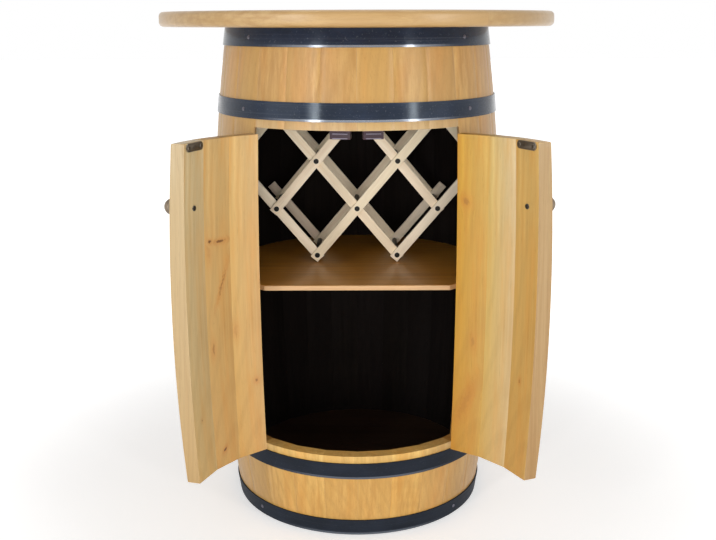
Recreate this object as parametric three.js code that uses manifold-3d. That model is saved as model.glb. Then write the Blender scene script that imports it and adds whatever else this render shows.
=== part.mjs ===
// Barrel bar cabinet: a staved barrel with a round tabletop, two staved doors in its belly,
// a bottle rack standing on a shelf, and a floor for standing bottles below.
// Millimetres, +Z up. The origin is on the floor, on the barrel's axis. The doorway faces -Y.
import * as THREE from "three";
import { mergeVertices } from "three/addons/utils/BufferGeometryUtils.js";
import Module from "manifold-3d";

const wasm = await Module();
wasm.setup();

// Barrel wall
const barrelHeight = 810;
const bellyRadius = 244.5;
const staveBow = 30.9;
const staveCount = 26;
const staveThicknessAtBelly = 25.5;
const staveThicknessAtEnd = 15;
const staveJointGap = 0.3;

// Doorway and doors
const doorStaveCount = 3;
const shortStaveHeight = 147;
const doorHeightClearance = 5.75;
const doorMeetingGap = 2;
const doorHingeGap = 1;
const jambTrim = 1;
const leftDoorOpenAngle = THREE.MathUtils.degToRad(105.5);
const rightDoorOpenAngle = THREE.MathUtils.degToRad(111);

// Heads, let into a groove near each end of the staves
const headInset = 30;
const headThickness = 18;
const grooveDepth = 5;

// Tabletop, and the crossed bearer that fills the well between it and the top head
const tabletopRadius = 320;
const tabletopThickness = 23;
const tabletopEdgeRadius = 7;
const bearerLength = 300;
const bearerWidth = 40;

// Hoops and the nails that hold them
const hoopHeight = 27.5;
const hoopThickness = 2;
const endHoopInset = 1;
const innerHoopInset = 107.2;
const nailedStaves = [3, 9];
const nailHeadRadius = 3;
const nailHeadHeight = 1.2;
const nailShankRadius = 1.5;
const nailLength = 10;

// Hinges
const hingeHeight = 60;
const hingeOffset = 110;
const pinStandOff = 3;
const pinRadius = 1.6;
const pinHeadRadius = 2.8;
const pinHeadHeight = 1.5;
const knuckleRadius = 3.6;
const knuckleGap = 0.4;
const leafWidth = 30;
const leafThickness = 1.8;
const leafGap = 0.6;
const hingeScrewSpacing = 36;
const woodScrewHeadRadius = 3.2;
const woodScrewHeadHeight = 0.9;
const woodScrewRadius = 1.5;
const woodScrewLength = 14;

// Knobs and the screws that hold them
const knobHeight = 20;
const knobRadius = 11;
const knobNeckRadius = 6;
const knobDrop = 93;
const knobScrewBite = 12;
const knobScrewRadius = 2;
const knobScrewHeadRadius = 4.2;
const knobScrewHeadHeight = 2;
const knobNeckLengthShare = 0.35;
const knobTopShare = 0.7;
const knobBellyShare = 0.3;

// Strike plates inside the doors, magnetic catches above, and the rail that carries the catches
const strikeWidth = 42;
const strikeHeight = 12;
const strikeThickness = 1.5;
const strikeScrewSpacing = 31;
const catchWidth = 31;
const catchHeight = 12.6;
const catchDepth = 14;
const catchLip = 1.2;
const catchReach = 0.8;
const poleWidth = 23;
const poleThickness = 1.4;
const poleSpacing = 7;
const poleRise = 1.6;
const poleProud = 1;
const railHeight = 32;
const railDepth = 24;

// Shelf, a little above mid height, and the two wall rails that it rests on
const shelfRise = 5;
const shelfThickness = 8;
const shelfFront = 148;
const shelfRailHeight = 22;
const shelfRailDepth = 16;
const shelfRailFirstStave = 4;
const shelfRailStaves = 5;

// Bottle rack: crossed slats in front and at the back, tied by rods through the crossings
const rackColumnSpacing = 69.5;
const rackRowCount = 4;
const rackFirstRow = 12.5;
const rackLastRowDrop = 50.9;
const rackTopClearance = 41.7;
const rackDepth = 120;
const rackWallClearance = 1;
const slatWidth = 16;
const slatThickness = 5;
const slatLap = 1;
const slatEndReach = 9;
const rackCornerRow = 1;
const rodRadius = 4.5;
const rodProud = 1;

// Clearances that the joints share
const seatGap = 0.3;
const holeGap = 0.3;
const cutOverrun = 20;
const weldDistance = 0.0001;

// Numbers of faces on round shapes, and the shape of a nail's or screw's head
const staveFaceCount = 2;
const staveLevelCount = 8;
const shortStaveLevelCount = 2;
const roundSides = 10;
const screwSides = 6;
const rodSides = 8;
const tabletopEdgeFaces = 2;
const shelfArcSides = 30;
const headDomeShare = 0.7;

const midHeight = barrelHeight / 2;
const endRadius = bellyRadius - staveBow;
const stavePitch = 2 * Math.PI / staveCount;
const halfPitch = stavePitch / 2;
const halfJoint = staveJointGap / 2;
const hoopSides = staveCount * staveFaceCount;
const openingHalfAngle = doorStaveCount * stavePitch;
const openingBottom = shortStaveHeight;
const openingTop = barrelHeight - shortStaveHeight;
const doorBottom = openingBottom + doorHeightClearance;
const doorTop = openingTop - doorHeightClearance;
const pinCircle = bellyRadius + pinStandOff;

const oak = { color: 0xd2a36a, roughness: 0.55, metalness: 0 };
const paleWood = { color: 0xddc6a4, roughness: 0.7, metalness: 0 };
const darkSteel = { color: 0x3a3d44, roughness: 0.4, metalness: 0.7 };
const brightSteel = { color: 0xb9bcc0, roughness: 0.3, metalness: 1 };
const greySteel = { color: 0x55504a, roughness: 0.45, metalness: 0.8 };
const darkPlastic = { color: 0x3b2a2c, roughness: 0.6, metalness: 0 };

// The square of the way from the belly (0) to an end (1): the bow that every stave follows.
function bowShare(height) {
  return ((height - midHeight) / midHeight) ** 2;
}

function outerRadius(height) {
  return bellyRadius - (bellyRadius - endRadius) * bowShare(height);
}

function innerRadius(height) {
  const thinning = (staveThicknessAtBelly - staveThicknessAtEnd) * bowShare(height);
  return outerRadius(height) - staveThicknessAtBelly + thinning;
}

// Staves are counted from the front towards +X. Stave 0 starts at the front centre line.
function staveMiddle(index) {
  return (index + 1 / 2) * stavePitch;
}

// A point at an angle round the axis, counted from the front (-Y) towards +X.
function around(radius, angle, height) {
  return new THREE.Vector3(radius * Math.sin(angle), -radius * Math.cos(angle), height);
}

// How much farther a stave's flat inner face lies from the axis at an angle than at its middle.
function flatFaceReach(angle) {
  const nearest = staveMiddle(Math.round(angle / stavePitch - 1 / 2));
  return 1 / Math.cos(angle - nearest);
}

// Turns a geometry into a solid: shared corners are merged and collapsed triangles dropped.
function solidOf(geometry) {
  const bare = geometry.clone();
  bare.deleteAttribute("normal");
  bare.deleteAttribute("uv");
  const merged = mergeVertices(bare, weldDistance);
  const corners = merged.getIndex().array;
  const kept = [];
  for (let at = 0; at < corners.length; at += 3) {
    const [a, b, c] = corners.slice(at, at + 3);
    if (a !== b && b !== c && c !== a) kept.push(a, b, c);
  }
  return new wasm.Manifold(new wasm.Mesh({
    numProp: 3,
    vertProperties: merged.getAttribute("position").array,
    triVerts: new Uint32Array(kept),
  }));
}

function geometryOf(solid) {
  const mesh = solid.getMesh();
  const geometry = new THREE.BufferGeometry();
  geometry.setAttribute("position", new THREE.BufferAttribute(mesh.vertProperties, 3));
  geometry.setIndex(new THREE.BufferAttribute(mesh.triVerts, 1));
  geometry.computeVertexNormals();
  return geometry;
}

function joined(geometries) {
  return geometries.map(solidOf).reduce((whole, solid) => whole.add(solid));
}

function cutBy(solid, cutters) {
  return cutters.map(solidOf).reduce((left, cutter) => left.subtract(cutter), solid);
}

// A named piece. What was drawn at the front of the barrel is turned to its own angle.
function part(name, solid, look, angle = 0) {
  const material = new THREE.MeshStandardMaterial({ ...look, flatShading: true });
  const mesh = new THREE.Mesh(geometryOf(solid).rotateZ(angle), material);
  mesh.name = name;
  return mesh;
}

// A box between two corners, given in any order.
function boxBetween(from, to) {
  const box = new THREE.Box3().setFromPoints([new THREE.Vector3(...from), new THREE.Vector3(...to)]);
  const size = box.getSize(new THREE.Vector3());
  const middle = box.getCenter(new THREE.Vector3());
  return new THREE.BoxGeometry(size.x, size.y, size.z).translate(middle.x, middle.y, middle.z);
}

// An upright round bar that stands on a height.
function uprightBar(radius, length, x, y, bottom, sides) {
  const bar = new THREE.CylinderGeometry(radius, radius, length, sides).rotateX(Math.PI / 2);
  return bar.translate(x, y, bottom + length / 2);
}

// A round bar along Y, from one depth to another.
function levelBar(radius, x, fromDepth, toDepth, height, sides) {
  const length = Math.abs(toDepth - fromDepth);
  const bar = new THREE.CylinderGeometry(radius, radius, length, sides);
  return bar.translate(x, (fromDepth + toDepth) / 2, height);
}

// A profile of radii and heights turned round the barrel's axis.
function turnedRing(profile) {
  return new THREE.LatheGeometry(profile, hoopSides).rotateX(Math.PI / 2);
}

// Sweeps an outline of radii and heights round the axis between two angles. Corners marked flat
// lie on the staves' flat inner faces.
function sweptWedge(outline, fromAngle, toAngle, faceCount) {
  const corners = [];
  const triangles = [];
  const count = outline.length;
  for (let step = 0; step <= faceCount; step += 1) {
    const angle = THREE.MathUtils.lerp(fromAngle, toAngle, step / faceCount);
    for (const { radius, height, flat } of outline) {
      corners.push(around(flat ? radius * flatFaceReach(angle) : radius, angle, height));
    }
  }
  for (let step = 0; step < faceCount; step += 1) {
    for (let at = 0; at < count; at += 1) {
      const here = step * count + at;
      const next = step * count + (at + 1) % count;
      triangles.push(here, here + count, next, next, here + count, next + count);
    }
  }
  const flatOutline = outline.map((corner) => new THREE.Vector2(corner.radius, corner.height));
  const last = faceCount * count;
  for (const [a, b, c] of THREE.ShapeUtils.triangulateShape(flatOutline, [])) {
    triangles.push(a, b, c, last + c, last + b, last + a);
  }
  return new THREE.BufferGeometry().setFromPoints(corners).setIndex(triangles);
}

// A nail or screw drawn at the front of the barrel. Its head stands on the plane at headDepth,
// and its shank points inwards, or outwards where inward is -1.
function fastener(size, x, headDepth, height, inward) {
  const profile = [
    new THREE.Vector2(0, -size.length),
    new THREE.Vector2(size.radius, size.radius - size.length),
    new THREE.Vector2(size.radius, 0),
    new THREE.Vector2(size.headRadius, 0),
    new THREE.Vector2(size.headRadius * headDomeShare, size.headHeight),
    new THREE.Vector2(0, size.headHeight),
  ];
  const screw = new THREE.LatheGeometry(profile, screwSides);
  if (inward > 0) screw.rotateX(Math.PI);
  return screw.translate(x, headDepth, height);
}

// The hole that a fastener's shank needs, a little wider and longer than the shank.
function shankHole(size, x, headDepth, height, inward) {
  const mouth = headDepth - inward * cutOverrun;
  const end = headDepth + inward * (size.length + holeGap);
  return levelBar(size.radius + holeGap, x, mouth, end, height, screwSides);
}

const nailSize = {
  radius: nailShankRadius,
  length: nailLength,
  headRadius: nailHeadRadius,
  headHeight: nailHeadHeight + hoopThickness / 2,
};
const woodScrewSize = {
  radius: woodScrewRadius,
  length: woodScrewLength,
  headRadius: woodScrewHeadRadius,
  headHeight: woodScrewHeadHeight,
};

// Heads. Both have one radius, because the barrel is as narrow at one end as at the other.
const headRadius = innerRadius(headInset + headThickness / 2) + grooveDepth - seatGap;
const topHeadBase = barrelHeight - headInset - headThickness;
const bottomGroove = grooveFor(headInset);
const topGroove = grooveFor(topHeadBase);

function grooveFor(headBase) {
  return { low: headBase - seatGap, high: headBase + headThickness + seatGap };
}

function makeHead(name, base) {
  return part(name, solidOf(uprightBar(headRadius, headThickness, 0, 0, base, hoopSides)), oak);
}

// The outline of a stave: its bowed outer face going up, then its inner face coming down, with a
// groove for each head that it holds.
function staveOutline(bottom, top, levelCount, grooves) {
  const outer = [];
  const inner = [];
  for (let level = 0; level <= levelCount; level += 1) {
    const height = THREE.MathUtils.lerp(bottom, top, level / levelCount);
    outer.push({ radius: outerRadius(height), height });
    if (!grooves.some(({ low, high }) => height > low && height < high)) {
      inner.push({ radius: innerRadius(height), height, flat: true });
    }
  }
  for (const { low, high } of grooves) {
    const grooveRadius = headRadius + seatGap;
    const below = inner.filter((corner) => corner.height < low).length;
    inner.splice(
      below,
      0,
      { radius: innerRadius(low), height: low, flat: true },
      { radius: grooveRadius, height: low, flat: true },
      { radius: grooveRadius, height: high, flat: true },
      { radius: innerRadius(high), height: high, flat: true },
    );
  }
  return [...outer, ...inner.reverse()];
}

function staveSolid(middle, outline, startGap, endGap) {
  const startAngle = middle - halfPitch + startGap / bellyRadius;
  const endAngle = middle + halfPitch - endGap / bellyRadius;
  return solidOf(sweptWedge(outline, startAngle, endAngle, staveFaceCount));
}

// Hoops lie on the staves and follow their slope.
const hoopBottoms = {
  hoop_bottom: endHoopInset,
  hoop_lower: innerHoopInset,
  hoop_upper: barrelHeight - innerHoopInset - hoopHeight,
  hoop_top: barrelHeight - endHoopInset - hoopHeight,
};

// A nail's head starts halfway through the hoop that it holds, so the two are one piece.
function nailSeat(hoopBottom) {
  const height = hoopBottom + hoopHeight / 2;
  return { height, depth: -(outerRadius(height) + seatGap + hoopThickness / 2) };
}

function makeHoop(name, bottom) {
  const top = bottom + hoopHeight;
  const back = (height) => outerRadius(height) + seatGap;
  const profile = [
    new THREE.Vector2(back(bottom), bottom),
    new THREE.Vector2(back(bottom) + hoopThickness, bottom),
    new THREE.Vector2(back(top) + hoopThickness, top),
    new THREE.Vector2(back(top), top),
    new THREE.Vector2(back(bottom), bottom),
  ];
  const { height, depth } = nailSeat(bottom);
  const nails = nailedStaves.flatMap((index) => [-1, 1].map(
    (side) => fastener(nailSize, 0, depth, height, 1).rotateZ(side * staveMiddle(index)),
  ));
  return part(name, joined([turnedRing(profile), ...nails]), darkSteel);
}

function nailHoles(middle) {
  return Object.values(hoopBottoms).map((bottom) => {
    const { height, depth } = nailSeat(bottom);
    return shankHole(nailSize, 0, depth, height, 1).rotateZ(middle);
  });
}

// The fixed stave beside the doorway is sawn straight back along the doorway, so that the barrel
// opens to the full width between the hinges. This is the wood that the saw takes.
function jambCutter(side) {
  const corners = [];
  const triangles = [];
  for (let level = 0; level <= staveLevelCount; level += 1) {
    const height = THREE.MathUtils.lerp(openingBottom, openingTop, level / staveLevelCount);
    const face = side * (outerRadius(height) * Math.sin(openingHalfAngle) + jambTrim);
    const clear = face - side * (staveThicknessAtBelly + cutOverrun);
    const front = -bellyRadius - cutOverrun;
    corners.push(
      new THREE.Vector3(face, front, height),
      new THREE.Vector3(face, 0, height),
      new THREE.Vector3(clear, 0, height),
      new THREE.Vector3(clear, front, height),
    );
  }
  const ring = 4;
  for (let level = 0; level < staveLevelCount; level += 1) {
    for (let at = 0; at < ring; at += 1) {
      const here = level * ring + at;
      const next = level * ring + (at + 1) % ring;
      triangles.push(here, next, here + ring, next, next + ring, here + ring);
    }
  }
  const last = staveLevelCount * ring;
  triangles.push(0, 2, 1, 0, 3, 2, last, last + 1, last + 2, last, last + 2, last + 3);
  if (side < 0) triangles.reverse();
  return new THREE.BufferGeometry().setFromPoints(corners).setIndex(triangles);
}

// Hinges. The pin is upright and stands just outside the belly, on the line of the joint between
// the door and the fixed stave, so the bowed door turns on a straight axis.
const hingeHeights = { lower: midHeight - hingeOffset, upper: midHeight + hingeOffset };
const leafSeat = outerRadius(hingeHeights.lower - hingeHeight / 2);

function hingeAxis(side) {
  return around(pinCircle, side * openingHalfAngle, 0);
}

// The stave that carries a leaf: its middle angle, where the pin stands as seen from there, and
// the leaf's two upright edges.
function leafCarrier(side, onDoor) {
  const towardsPin = onDoor ? side : -side;
  const pinX = towardsPin * pinCircle * Math.sin(halfPitch);
  const near = pinX - towardsPin * (knuckleRadius + leafGap);
  return {
    towardsPin,
    middle: side * (openingHalfAngle + (onDoor ? -halfPitch : halfPitch)),
    pinX,
    pinY: -pinCircle * Math.cos(halfPitch),
    near,
    far: near - towardsPin * leafWidth,
  };
}

// Three knuckles share the hinge's height: the fixed leaf has the outer two, the door's the inner.
function knuckleSpans(height, onDoor) {
  const length = (hingeHeight - 2 * knuckleGap) / 3;
  const bottom = height - hingeHeight / 2;
  const spans = [0, 1, 2].map((index) => {
    const from = bottom + index * (length + knuckleGap);
    return { from, to: from + length };
  });
  return onDoor ? [spans[1]] : [spans[0], spans[2]];
}

function hingeScrewPlaces(carrier, height) {
  const x = (carrier.near + carrier.far) / 2;
  return [-1, 1].map((end) => ({ x, height: height + end * hingeScrewSpacing / 2 }));
}

// A leaf with its knuckles and the two screws that hold it to its stave.
function makeLeaf(name, side, onDoor, height) {
  const carrier = leafCarrier(side, onDoor);
  const { towardsPin, pinX, pinY, near, far } = carrier;
  const low = height - hingeHeight / 2;
  const face = -leafSeat - leafThickness;
  const plate = boxBetween([near, -leafSeat, low], [far, face, low + hingeHeight]);
  const knuckles = knuckleSpans(height, onDoor).flatMap(({ from, to }) => [
    uprightBar(knuckleRadius, to - from, pinX, pinY, from, roundSides),
    boxBetween([pinX, -leafSeat, from], [near - towardsPin * leafThickness, pinY, to]),
  ]);
  const screws = hingeScrewPlaces(carrier, height).map(
    (place) => fastener(woodScrewSize, place.x, face, place.height, 1),
  );
  const bore = uprightBar(
    pinRadius + holeGap, hingeHeight + 2 * cutOverrun, pinX, pinY, low - cutOverrun, roundSides,
  );
  return part(name, cutBy(joined([plate, ...knuckles, ...screws]), [bore]), darkSteel, carrier.middle);
}

// What a door's hinges take out of the stave that carries them: a shallow recess that lets each
// leaf lie flat on the bowed face, and the screw holes.
function hingeCuts(side, onDoor) {
  const carrier = leafCarrier(side, onDoor);
  const { towardsPin, middle, pinX, far } = carrier;
  const half = hingeHeight / 2 + seatGap;
  const face = -leafSeat - leafThickness;
  return Object.values(hingeHeights).flatMap((height) => [
    boxBetween(
      [far - towardsPin * seatGap, seatGap - leafSeat, height - half],
      [pinX + towardsPin * cutOverrun, -pinCircle - cutOverrun, height + half],
    ),
    ...hingeScrewPlaces(carrier, height).map(
      (place) => shankHole(woodScrewSize, place.x, face, place.height, 1),
    ),
  ]).map((cutter) => cutter.rotateZ(middle));
}

// Each pin drops in from above, and its head rests on the top knuckle.
function makePin(name, side, height) {
  const { x, y } = hingeAxis(side);
  const top = height + hingeHeight / 2 + seatGap;
  return part(name, joined([
    uprightBar(pinRadius, hingeHeight + seatGap, x, y, top - hingeHeight, roundSides),
    uprightBar(pinHeadRadius, pinHeadHeight, x, y, top, roundSides),
  ]), brightSteel);
}

// The fixed half of the hinges, and their pins, stay with the barrel.
function makeFixedHinges() {
  return [[-1, "left"], [1, "right"]].flatMap(([side, sideName]) => (
    Object.entries(hingeHeights).flatMap(([place, height]) => [
      makeLeaf(`${sideName}_${place}_hinge_fixed_leaf`, side, false, height),
      makePin(`${sideName}_${place}_hinge_pin`, side, height),
    ])
  ));
}

// Full-height staves, from the one beside the doorway on the right round to the left.
function makeStaves() {
  const outline = staveOutline(0, barrelHeight, staveLevelCount, [bottomGroove, topGroove]);
  const first = doorStaveCount;
  const last = staveCount - doorStaveCount - 1;
  const staves = [];
  for (let index = first; index <= last; index += 1) {
    const middle = staveMiddle(index);
    const cuts = [];
    if (index === first) cuts.push(jambCutter(1), ...hingeCuts(1, false));
    if (index === last) cuts.push(jambCutter(-1), ...hingeCuts(-1, false));
    const fromLeft = staveCount - 1 - index;
    if (nailedStaves.includes(Math.min(index, fromLeft))) cuts.push(...nailHoles(middle));
    const number = String(index - first + 1).padStart(2, "0");
    const stave = staveSolid(middle, outline, halfJoint, halfJoint);
    staves.push(part(`stave_${number}`, cutBy(stave, cuts), oak));
  }
  return staves;
}

// The short staves that close the wall above and below the doors, glued up as one band.
function makeShortStaves(name, bottom, top, groove) {
  const outline = staveOutline(bottom, top, shortStaveLevelCount, [groove]);
  const half = openingHalfAngle - halfJoint / bellyRadius;
  const faceCount = 2 * doorStaveCount * staveFaceCount;
  const band = joined([sweptWedge(outline, -half, half, faceCount)]);
  return part(name, band, oak);
}

// Doors. Each is drawn shut, and its free-edge stave carries the knob and the strike plate.
const latchStave = staveMiddle(0);
const knobPlace = doorTop - knobDrop;
const knobSeat = outerRadius(knobPlace) + seatGap;
const knobScrewSeat = innerRadius(knobPlace) - seatGap;
const strikePlace = doorTop - strikeHeight / 2 - seatGap;
const strikeFace = innerRadius(doorTop) - seatGap - strikeThickness;
const strikeScrewPlaces = [-1, 1].map((end) => end * strikeScrewSpacing / 2);

function latchStaveCuts(side) {
  return [
    levelBar(knobScrewRadius + holeGap, 0, -knobSeat - cutOverrun, 0, knobPlace, screwSides),
    ...strikeScrewPlaces.map((x) => shankHole(woodScrewSize, x, -strikeFace, strikePlace, -1)),
  ].map((cutter) => cutter.rotateZ(side * latchStave));
}

function makeDoorStaves(side, sideName) {
  const outline = staveOutline(doorBottom, doorTop, staveLevelCount, []);
  const staves = [];
  for (let index = 0; index < doorStaveCount; index += 1) {
    const middle = side * staveMiddle(index);
    const atHinge = index === doorStaveCount - 1;
    const meeting = index === 0 ? doorMeetingGap / 2 : halfJoint;
    const hinged = atHinge ? doorHingeGap : halfJoint;
    const gaps = side > 0 ? [meeting, hinged] : [hinged, meeting];
    const cuts = [];
    if (index === 0) cuts.push(...latchStaveCuts(side));
    if (atHinge) cuts.push(...hingeCuts(side, true));
    const stave = cutBy(staveSolid(middle, outline, ...gaps), cuts);
    staves.push(part(`${sideName}_door_stave_${index + 1}`, stave, oak));
  }
  return staves;
}

// A knob with the screw that comes through the door from inside.
function makeKnob(side, sideName) {
  const neckLength = knobHeight * knobNeckLengthShare;
  const shoulder = (knobHeight - neckLength) * knobBellyShare;
  const profile = [
    new THREE.Vector2(0, 0),
    new THREE.Vector2(knobNeckRadius, 0),
    new THREE.Vector2(knobNeckRadius, neckLength),
    new THREE.Vector2(knobRadius, neckLength + shoulder),
    new THREE.Vector2(knobRadius, knobHeight - shoulder),
    new THREE.Vector2(knobRadius * knobTopShare, knobHeight),
    new THREE.Vector2(0, knobHeight),
  ];
  const body = new THREE.LatheGeometry(profile, roundSides).rotateX(Math.PI);
  const screwSize = {
    radius: knobScrewRadius,
    length: knobSeat - knobScrewSeat + knobScrewBite,
    headRadius: knobScrewHeadRadius,
    headHeight: knobScrewHeadHeight,
  };
  const screw = fastener(screwSize, 0, -knobScrewSeat, knobPlace, -1);
  const knob = joined([body.translate(0, -knobSeat, knobPlace), screw]);
  return part(`${sideName}_knob`, knob, greySteel, side * latchStave);
}

function makeStrikePlate(side, sideName) {
  const half = (strikeWidth - strikeHeight) / 2;
  const quarter = Math.PI / 2;
  const outline = new THREE.Shape();
  outline.absarc(half, 0, strikeHeight / 2, -quarter, quarter, false);
  outline.absarc(-half, 0, strikeHeight / 2, quarter, 3 * quarter, false);
  const plate = new THREE.ExtrudeGeometry(outline, {
    depth: strikeThickness, bevelEnabled: false, curveSegments: screwSides,
  });
  plate.rotateX(quarter).translate(0, -strikeFace, strikePlace);
  const screws = strikeScrewPlaces.map(
    (x) => fastener(woodScrewSize, x, -strikeFace, strikePlace, -1),
  );
  return part(`${sideName}_strike_plate`, joined([plate, ...screws]), greySteel, side * latchStave);
}

// A door turns about its pins: the group stands on the hinge axis, turned by the opening angle.
function makeDoor(side, sideName, openAngle) {
  const shut = new THREE.Group();
  shut.position.copy(hingeAxis(side)).negate();
  shut.add(
    ...makeDoorStaves(side, sideName),
    ...Object.entries(hingeHeights).map(
      ([place, height]) => makeLeaf(`${sideName}_${place}_hinge_door_leaf`, side, true, height),
    ),
    makeKnob(side, sideName),
    makeStrikePlate(side, sideName),
  );
  const hung = new THREE.Group();
  hung.position.copy(hingeAxis(side));
  hung.rotation.z = side * openAngle;
  hung.add(shut);
  return hung;
}

// A rail that follows the staves' flat inner faces, from one stave to another.
function makeWallRail(name, firstStave, lastStave, wallRadius, depth, bottom, height) {
  const angles = [];
  for (let joint = firstStave; joint <= lastStave + 1; joint += 1) angles.push(joint * stavePitch);
  const corners = [
    ...angles.map((angle) => around(wallRadius / Math.cos(halfPitch), angle, 0)),
    ...angles.reverse().map((angle) => around((wallRadius - depth) / Math.cos(halfPitch), angle, 0)),
  ];
  const outline = new THREE.Shape(corners.map((corner) => new THREE.Vector2(corner.x, corner.y)));
  const rail = new THREE.ExtrudeGeometry(outline, { depth: height, bevelEnabled: false });
  return part(name, solidOf(rail.translate(0, 0, bottom)), oak);
}

// Magnetic catches hang under a rail that is glued behind the upper short staves.
const catchFace = strikeFace - catchReach - poleProud;
const polePlace = strikePlace + poleRise;
const catchBottom = polePlace - poleSpacing / 2 - catchLip;
const catchTop = catchBottom + catchHeight;

// A catch with its two pole plates, which stand a little out of the housing.
function makeCatch(side, sideName) {
  const body = boxBetween(
    [-catchWidth / 2, -catchFace, catchBottom],
    [catchWidth / 2, catchDepth - catchFace, catchTop],
  );
  const poles = [-1, 1].map((end) => {
    const middle = polePlace + end * poleSpacing / 2;
    return boxBetween(
      [-poleWidth / 2, -catchFace - poleProud, middle - poleThickness / 2],
      [poleWidth / 2, catchDepth / 2 - catchFace, middle + poleThickness / 2],
    );
  });
  return part(`${sideName}_catch`, joined([body, ...poles]), darkPlastic, side * latchStave);
}

function makeCatchRail() {
  const bottom = catchTop + seatGap;
  const wallRadius = innerRadius(bottom + railHeight) - seatGap;
  return makeWallRail("catch_rail", -1, 0, wallRadius, railDepth, bottom, railHeight);
}

// Tabletop with a rounded rim, resting on the ends of the staves.
function makeTabletop() {
  const bottom = barrelHeight + seatGap;
  const top = bottom + tabletopThickness;
  const profile = [new THREE.Vector2(0, bottom)];
  for (const [middle, turn] of [[bottom + tabletopEdgeRadius, -1], [top - tabletopEdgeRadius, 0]]) {
    for (let step = 0; step <= tabletopEdgeFaces; step += 1) {
      const angle = (turn + step / tabletopEdgeFaces) * Math.PI / 2;
      const radius = tabletopRadius - tabletopEdgeRadius + tabletopEdgeRadius * Math.cos(angle);
      profile.push(new THREE.Vector2(radius, middle + tabletopEdgeRadius * Math.sin(angle)));
    }
  }
  profile.push(new THREE.Vector2(0, top));
  return part("tabletop", solidOf(turnedRing(profile)), oak);
}

// The bearer is two bars halved across each other. It stands on the top head, and keeps the
// tabletop flat.
function makeBearer() {
  const bottom = topHeadBase + headThickness + seatGap;
  const bars = [[bearerLength, bearerWidth], [bearerWidth, bearerLength]].map(([width, depth]) => (
    boxBetween([-width / 2, -depth / 2, bottom], [width / 2, depth / 2, barrelHeight])
  ));
  return part("tabletop_bearer", joined(bars), oak);
}

// Shelf: as round as the inside of the barrel, with a straight front between the door posts.
const shelfTop = midHeight + shelfRise;

function makeShelf() {
  const radius = innerRadius(shelfTop) - seatGap;
  const frontAngle = Math.asin(shelfFront / radius);
  const outline = new THREE.Shape();
  outline.absarc(0, 0, radius, -frontAngle, Math.PI + frontAngle, false);
  const shelf = new THREE.ExtrudeGeometry(outline, {
    depth: shelfThickness, bevelEnabled: false, curveSegments: shelfArcSides,
  });
  return part("shelf", solidOf(shelf.translate(0, 0, shelfTop - shelfThickness)), oak);
}

function makeShelfRails() {
  const top = shelfTop - shelfThickness - seatGap;
  const bottom = top - shelfRailHeight;
  const wallRadius = Math.min(innerRadius(top), innerRadius(bottom)) - seatGap;
  const rightLast = shelfRailFirstStave + shelfRailStaves - 1;
  const leftFirst = staveCount - 1 - rightLast;
  return [["right", shelfRailFirstStave], ["left", leftFirst]].map(([sideName, first]) => makeWallRail(
    `${sideName}_shelf_rail`, first, first + shelfRailStaves - 1,
    wallRadius, shelfRailDepth, bottom, shelfRailHeight,
  ));
}

// Bottle rack. Columns count the crossings from the middle and rows count them from the shelf up.
// Slats cross, and a rod passes, where column and row add up to an odd number. A rising slat
// follows column less row; a falling one is the same, mirrored.
const rackBase = shelfTop + seatGap;
const rackTop = topHeadBase - rackTopClearance;
const rackRowSpacing = (rackTop - rackLastRowDrop - shelfTop - rackFirstRow) / (rackRowCount - 1);
const rackSlope = Math.atan2(rackRowSpacing, rackColumnSpacing);
const layerStep = slatThickness - slatLap;
const latticeThickness = slatThickness + layerStep;
const frontLatticeFace = -slatThickness;
const backLatticeFace = frontLatticeFace + rackDepth;

function rowHeight(row) {
  return shelfTop + rackFirstRow + row * rackRowSpacing;
}

// Half the width that the barrel's narrowest wall leaves a lattice, at its corner farthest back
// or forward.
function latticeHalfWidth(face) {
  const reach = Math.max(Math.abs(face), Math.abs(face + latticeThickness));
  return Math.sqrt(innerRadius(rackTop) ** 2 - reach ** 2) - rackWallClearance;
}

function outermostColumn(halfWidth) {
  return Math.floor((halfWidth - slatWidth / 2) / rackColumnSpacing);
}

function rackCrossings(halfWidth) {
  const crossings = [];
  const columns = outermostColumn(halfWidth);
  for (let row = 0; row < rackRowCount; row += 1) {
    for (let column = -columns; column <= columns; column += 1) {
      if (Math.abs(column + row) % 2 === 1) crossings.push({ column, row });
    }
  }
  return crossings;
}

// A slat runs from the shelf, or the wall, up to the rack's top, or the wall. The one that would
// close the bottom corner stops just past its crossing at the side of the rack.
function makeSlat(line, lean, halfWidth, face) {
  const endDrop = slatWidth / 2 * Math.cos(rackSlope);
  const endReach = slatWidth / 2 * Math.sin(rackSlope);
  const foot = line * rackColumnSpacing;
  const placeAt = (height) => foot + (height - rowHeight(0)) / Math.tan(rackSlope);
  const heightAt = (place) => rowHeight(0) + (place - foot) * Math.tan(rackSlope);
  const cornerFoot = placeAt(rowHeight(rackCornerRow)) - slatEndReach * Math.cos(rackSlope);
  const closesCorner = line === -outermostColumn(halfWidth) - rackCornerRow;
  const fullFoot = Math.max(placeAt(rackBase + endDrop), endReach - halfWidth);
  const low = closesCorner ? cornerFoot : fullFoot;
  const high = Math.min(placeAt(rackTop - endDrop), halfWidth - endReach);
  const length = (high - low) / Math.cos(rackSlope);
  const slat = new THREE.BoxGeometry(length, slatThickness, slatWidth);
  slat.rotateY(-lean * rackSlope);
  const middle = (low + high) / 2;
  return slat.translate(lean * middle, face + slatThickness / 2, heightAt(middle));
}

function latticeSlats(crossings, halfWidth, face) {
  return [[1, face], [-1, face + layerStep]].flatMap(([lean, layerFace]) => {
    const lines = new Set(crossings.map(({ column, row }) => lean * column - row));
    return [...lines].map((line) => makeSlat(line, lean, halfWidth, layerFace));
  });
}

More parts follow.
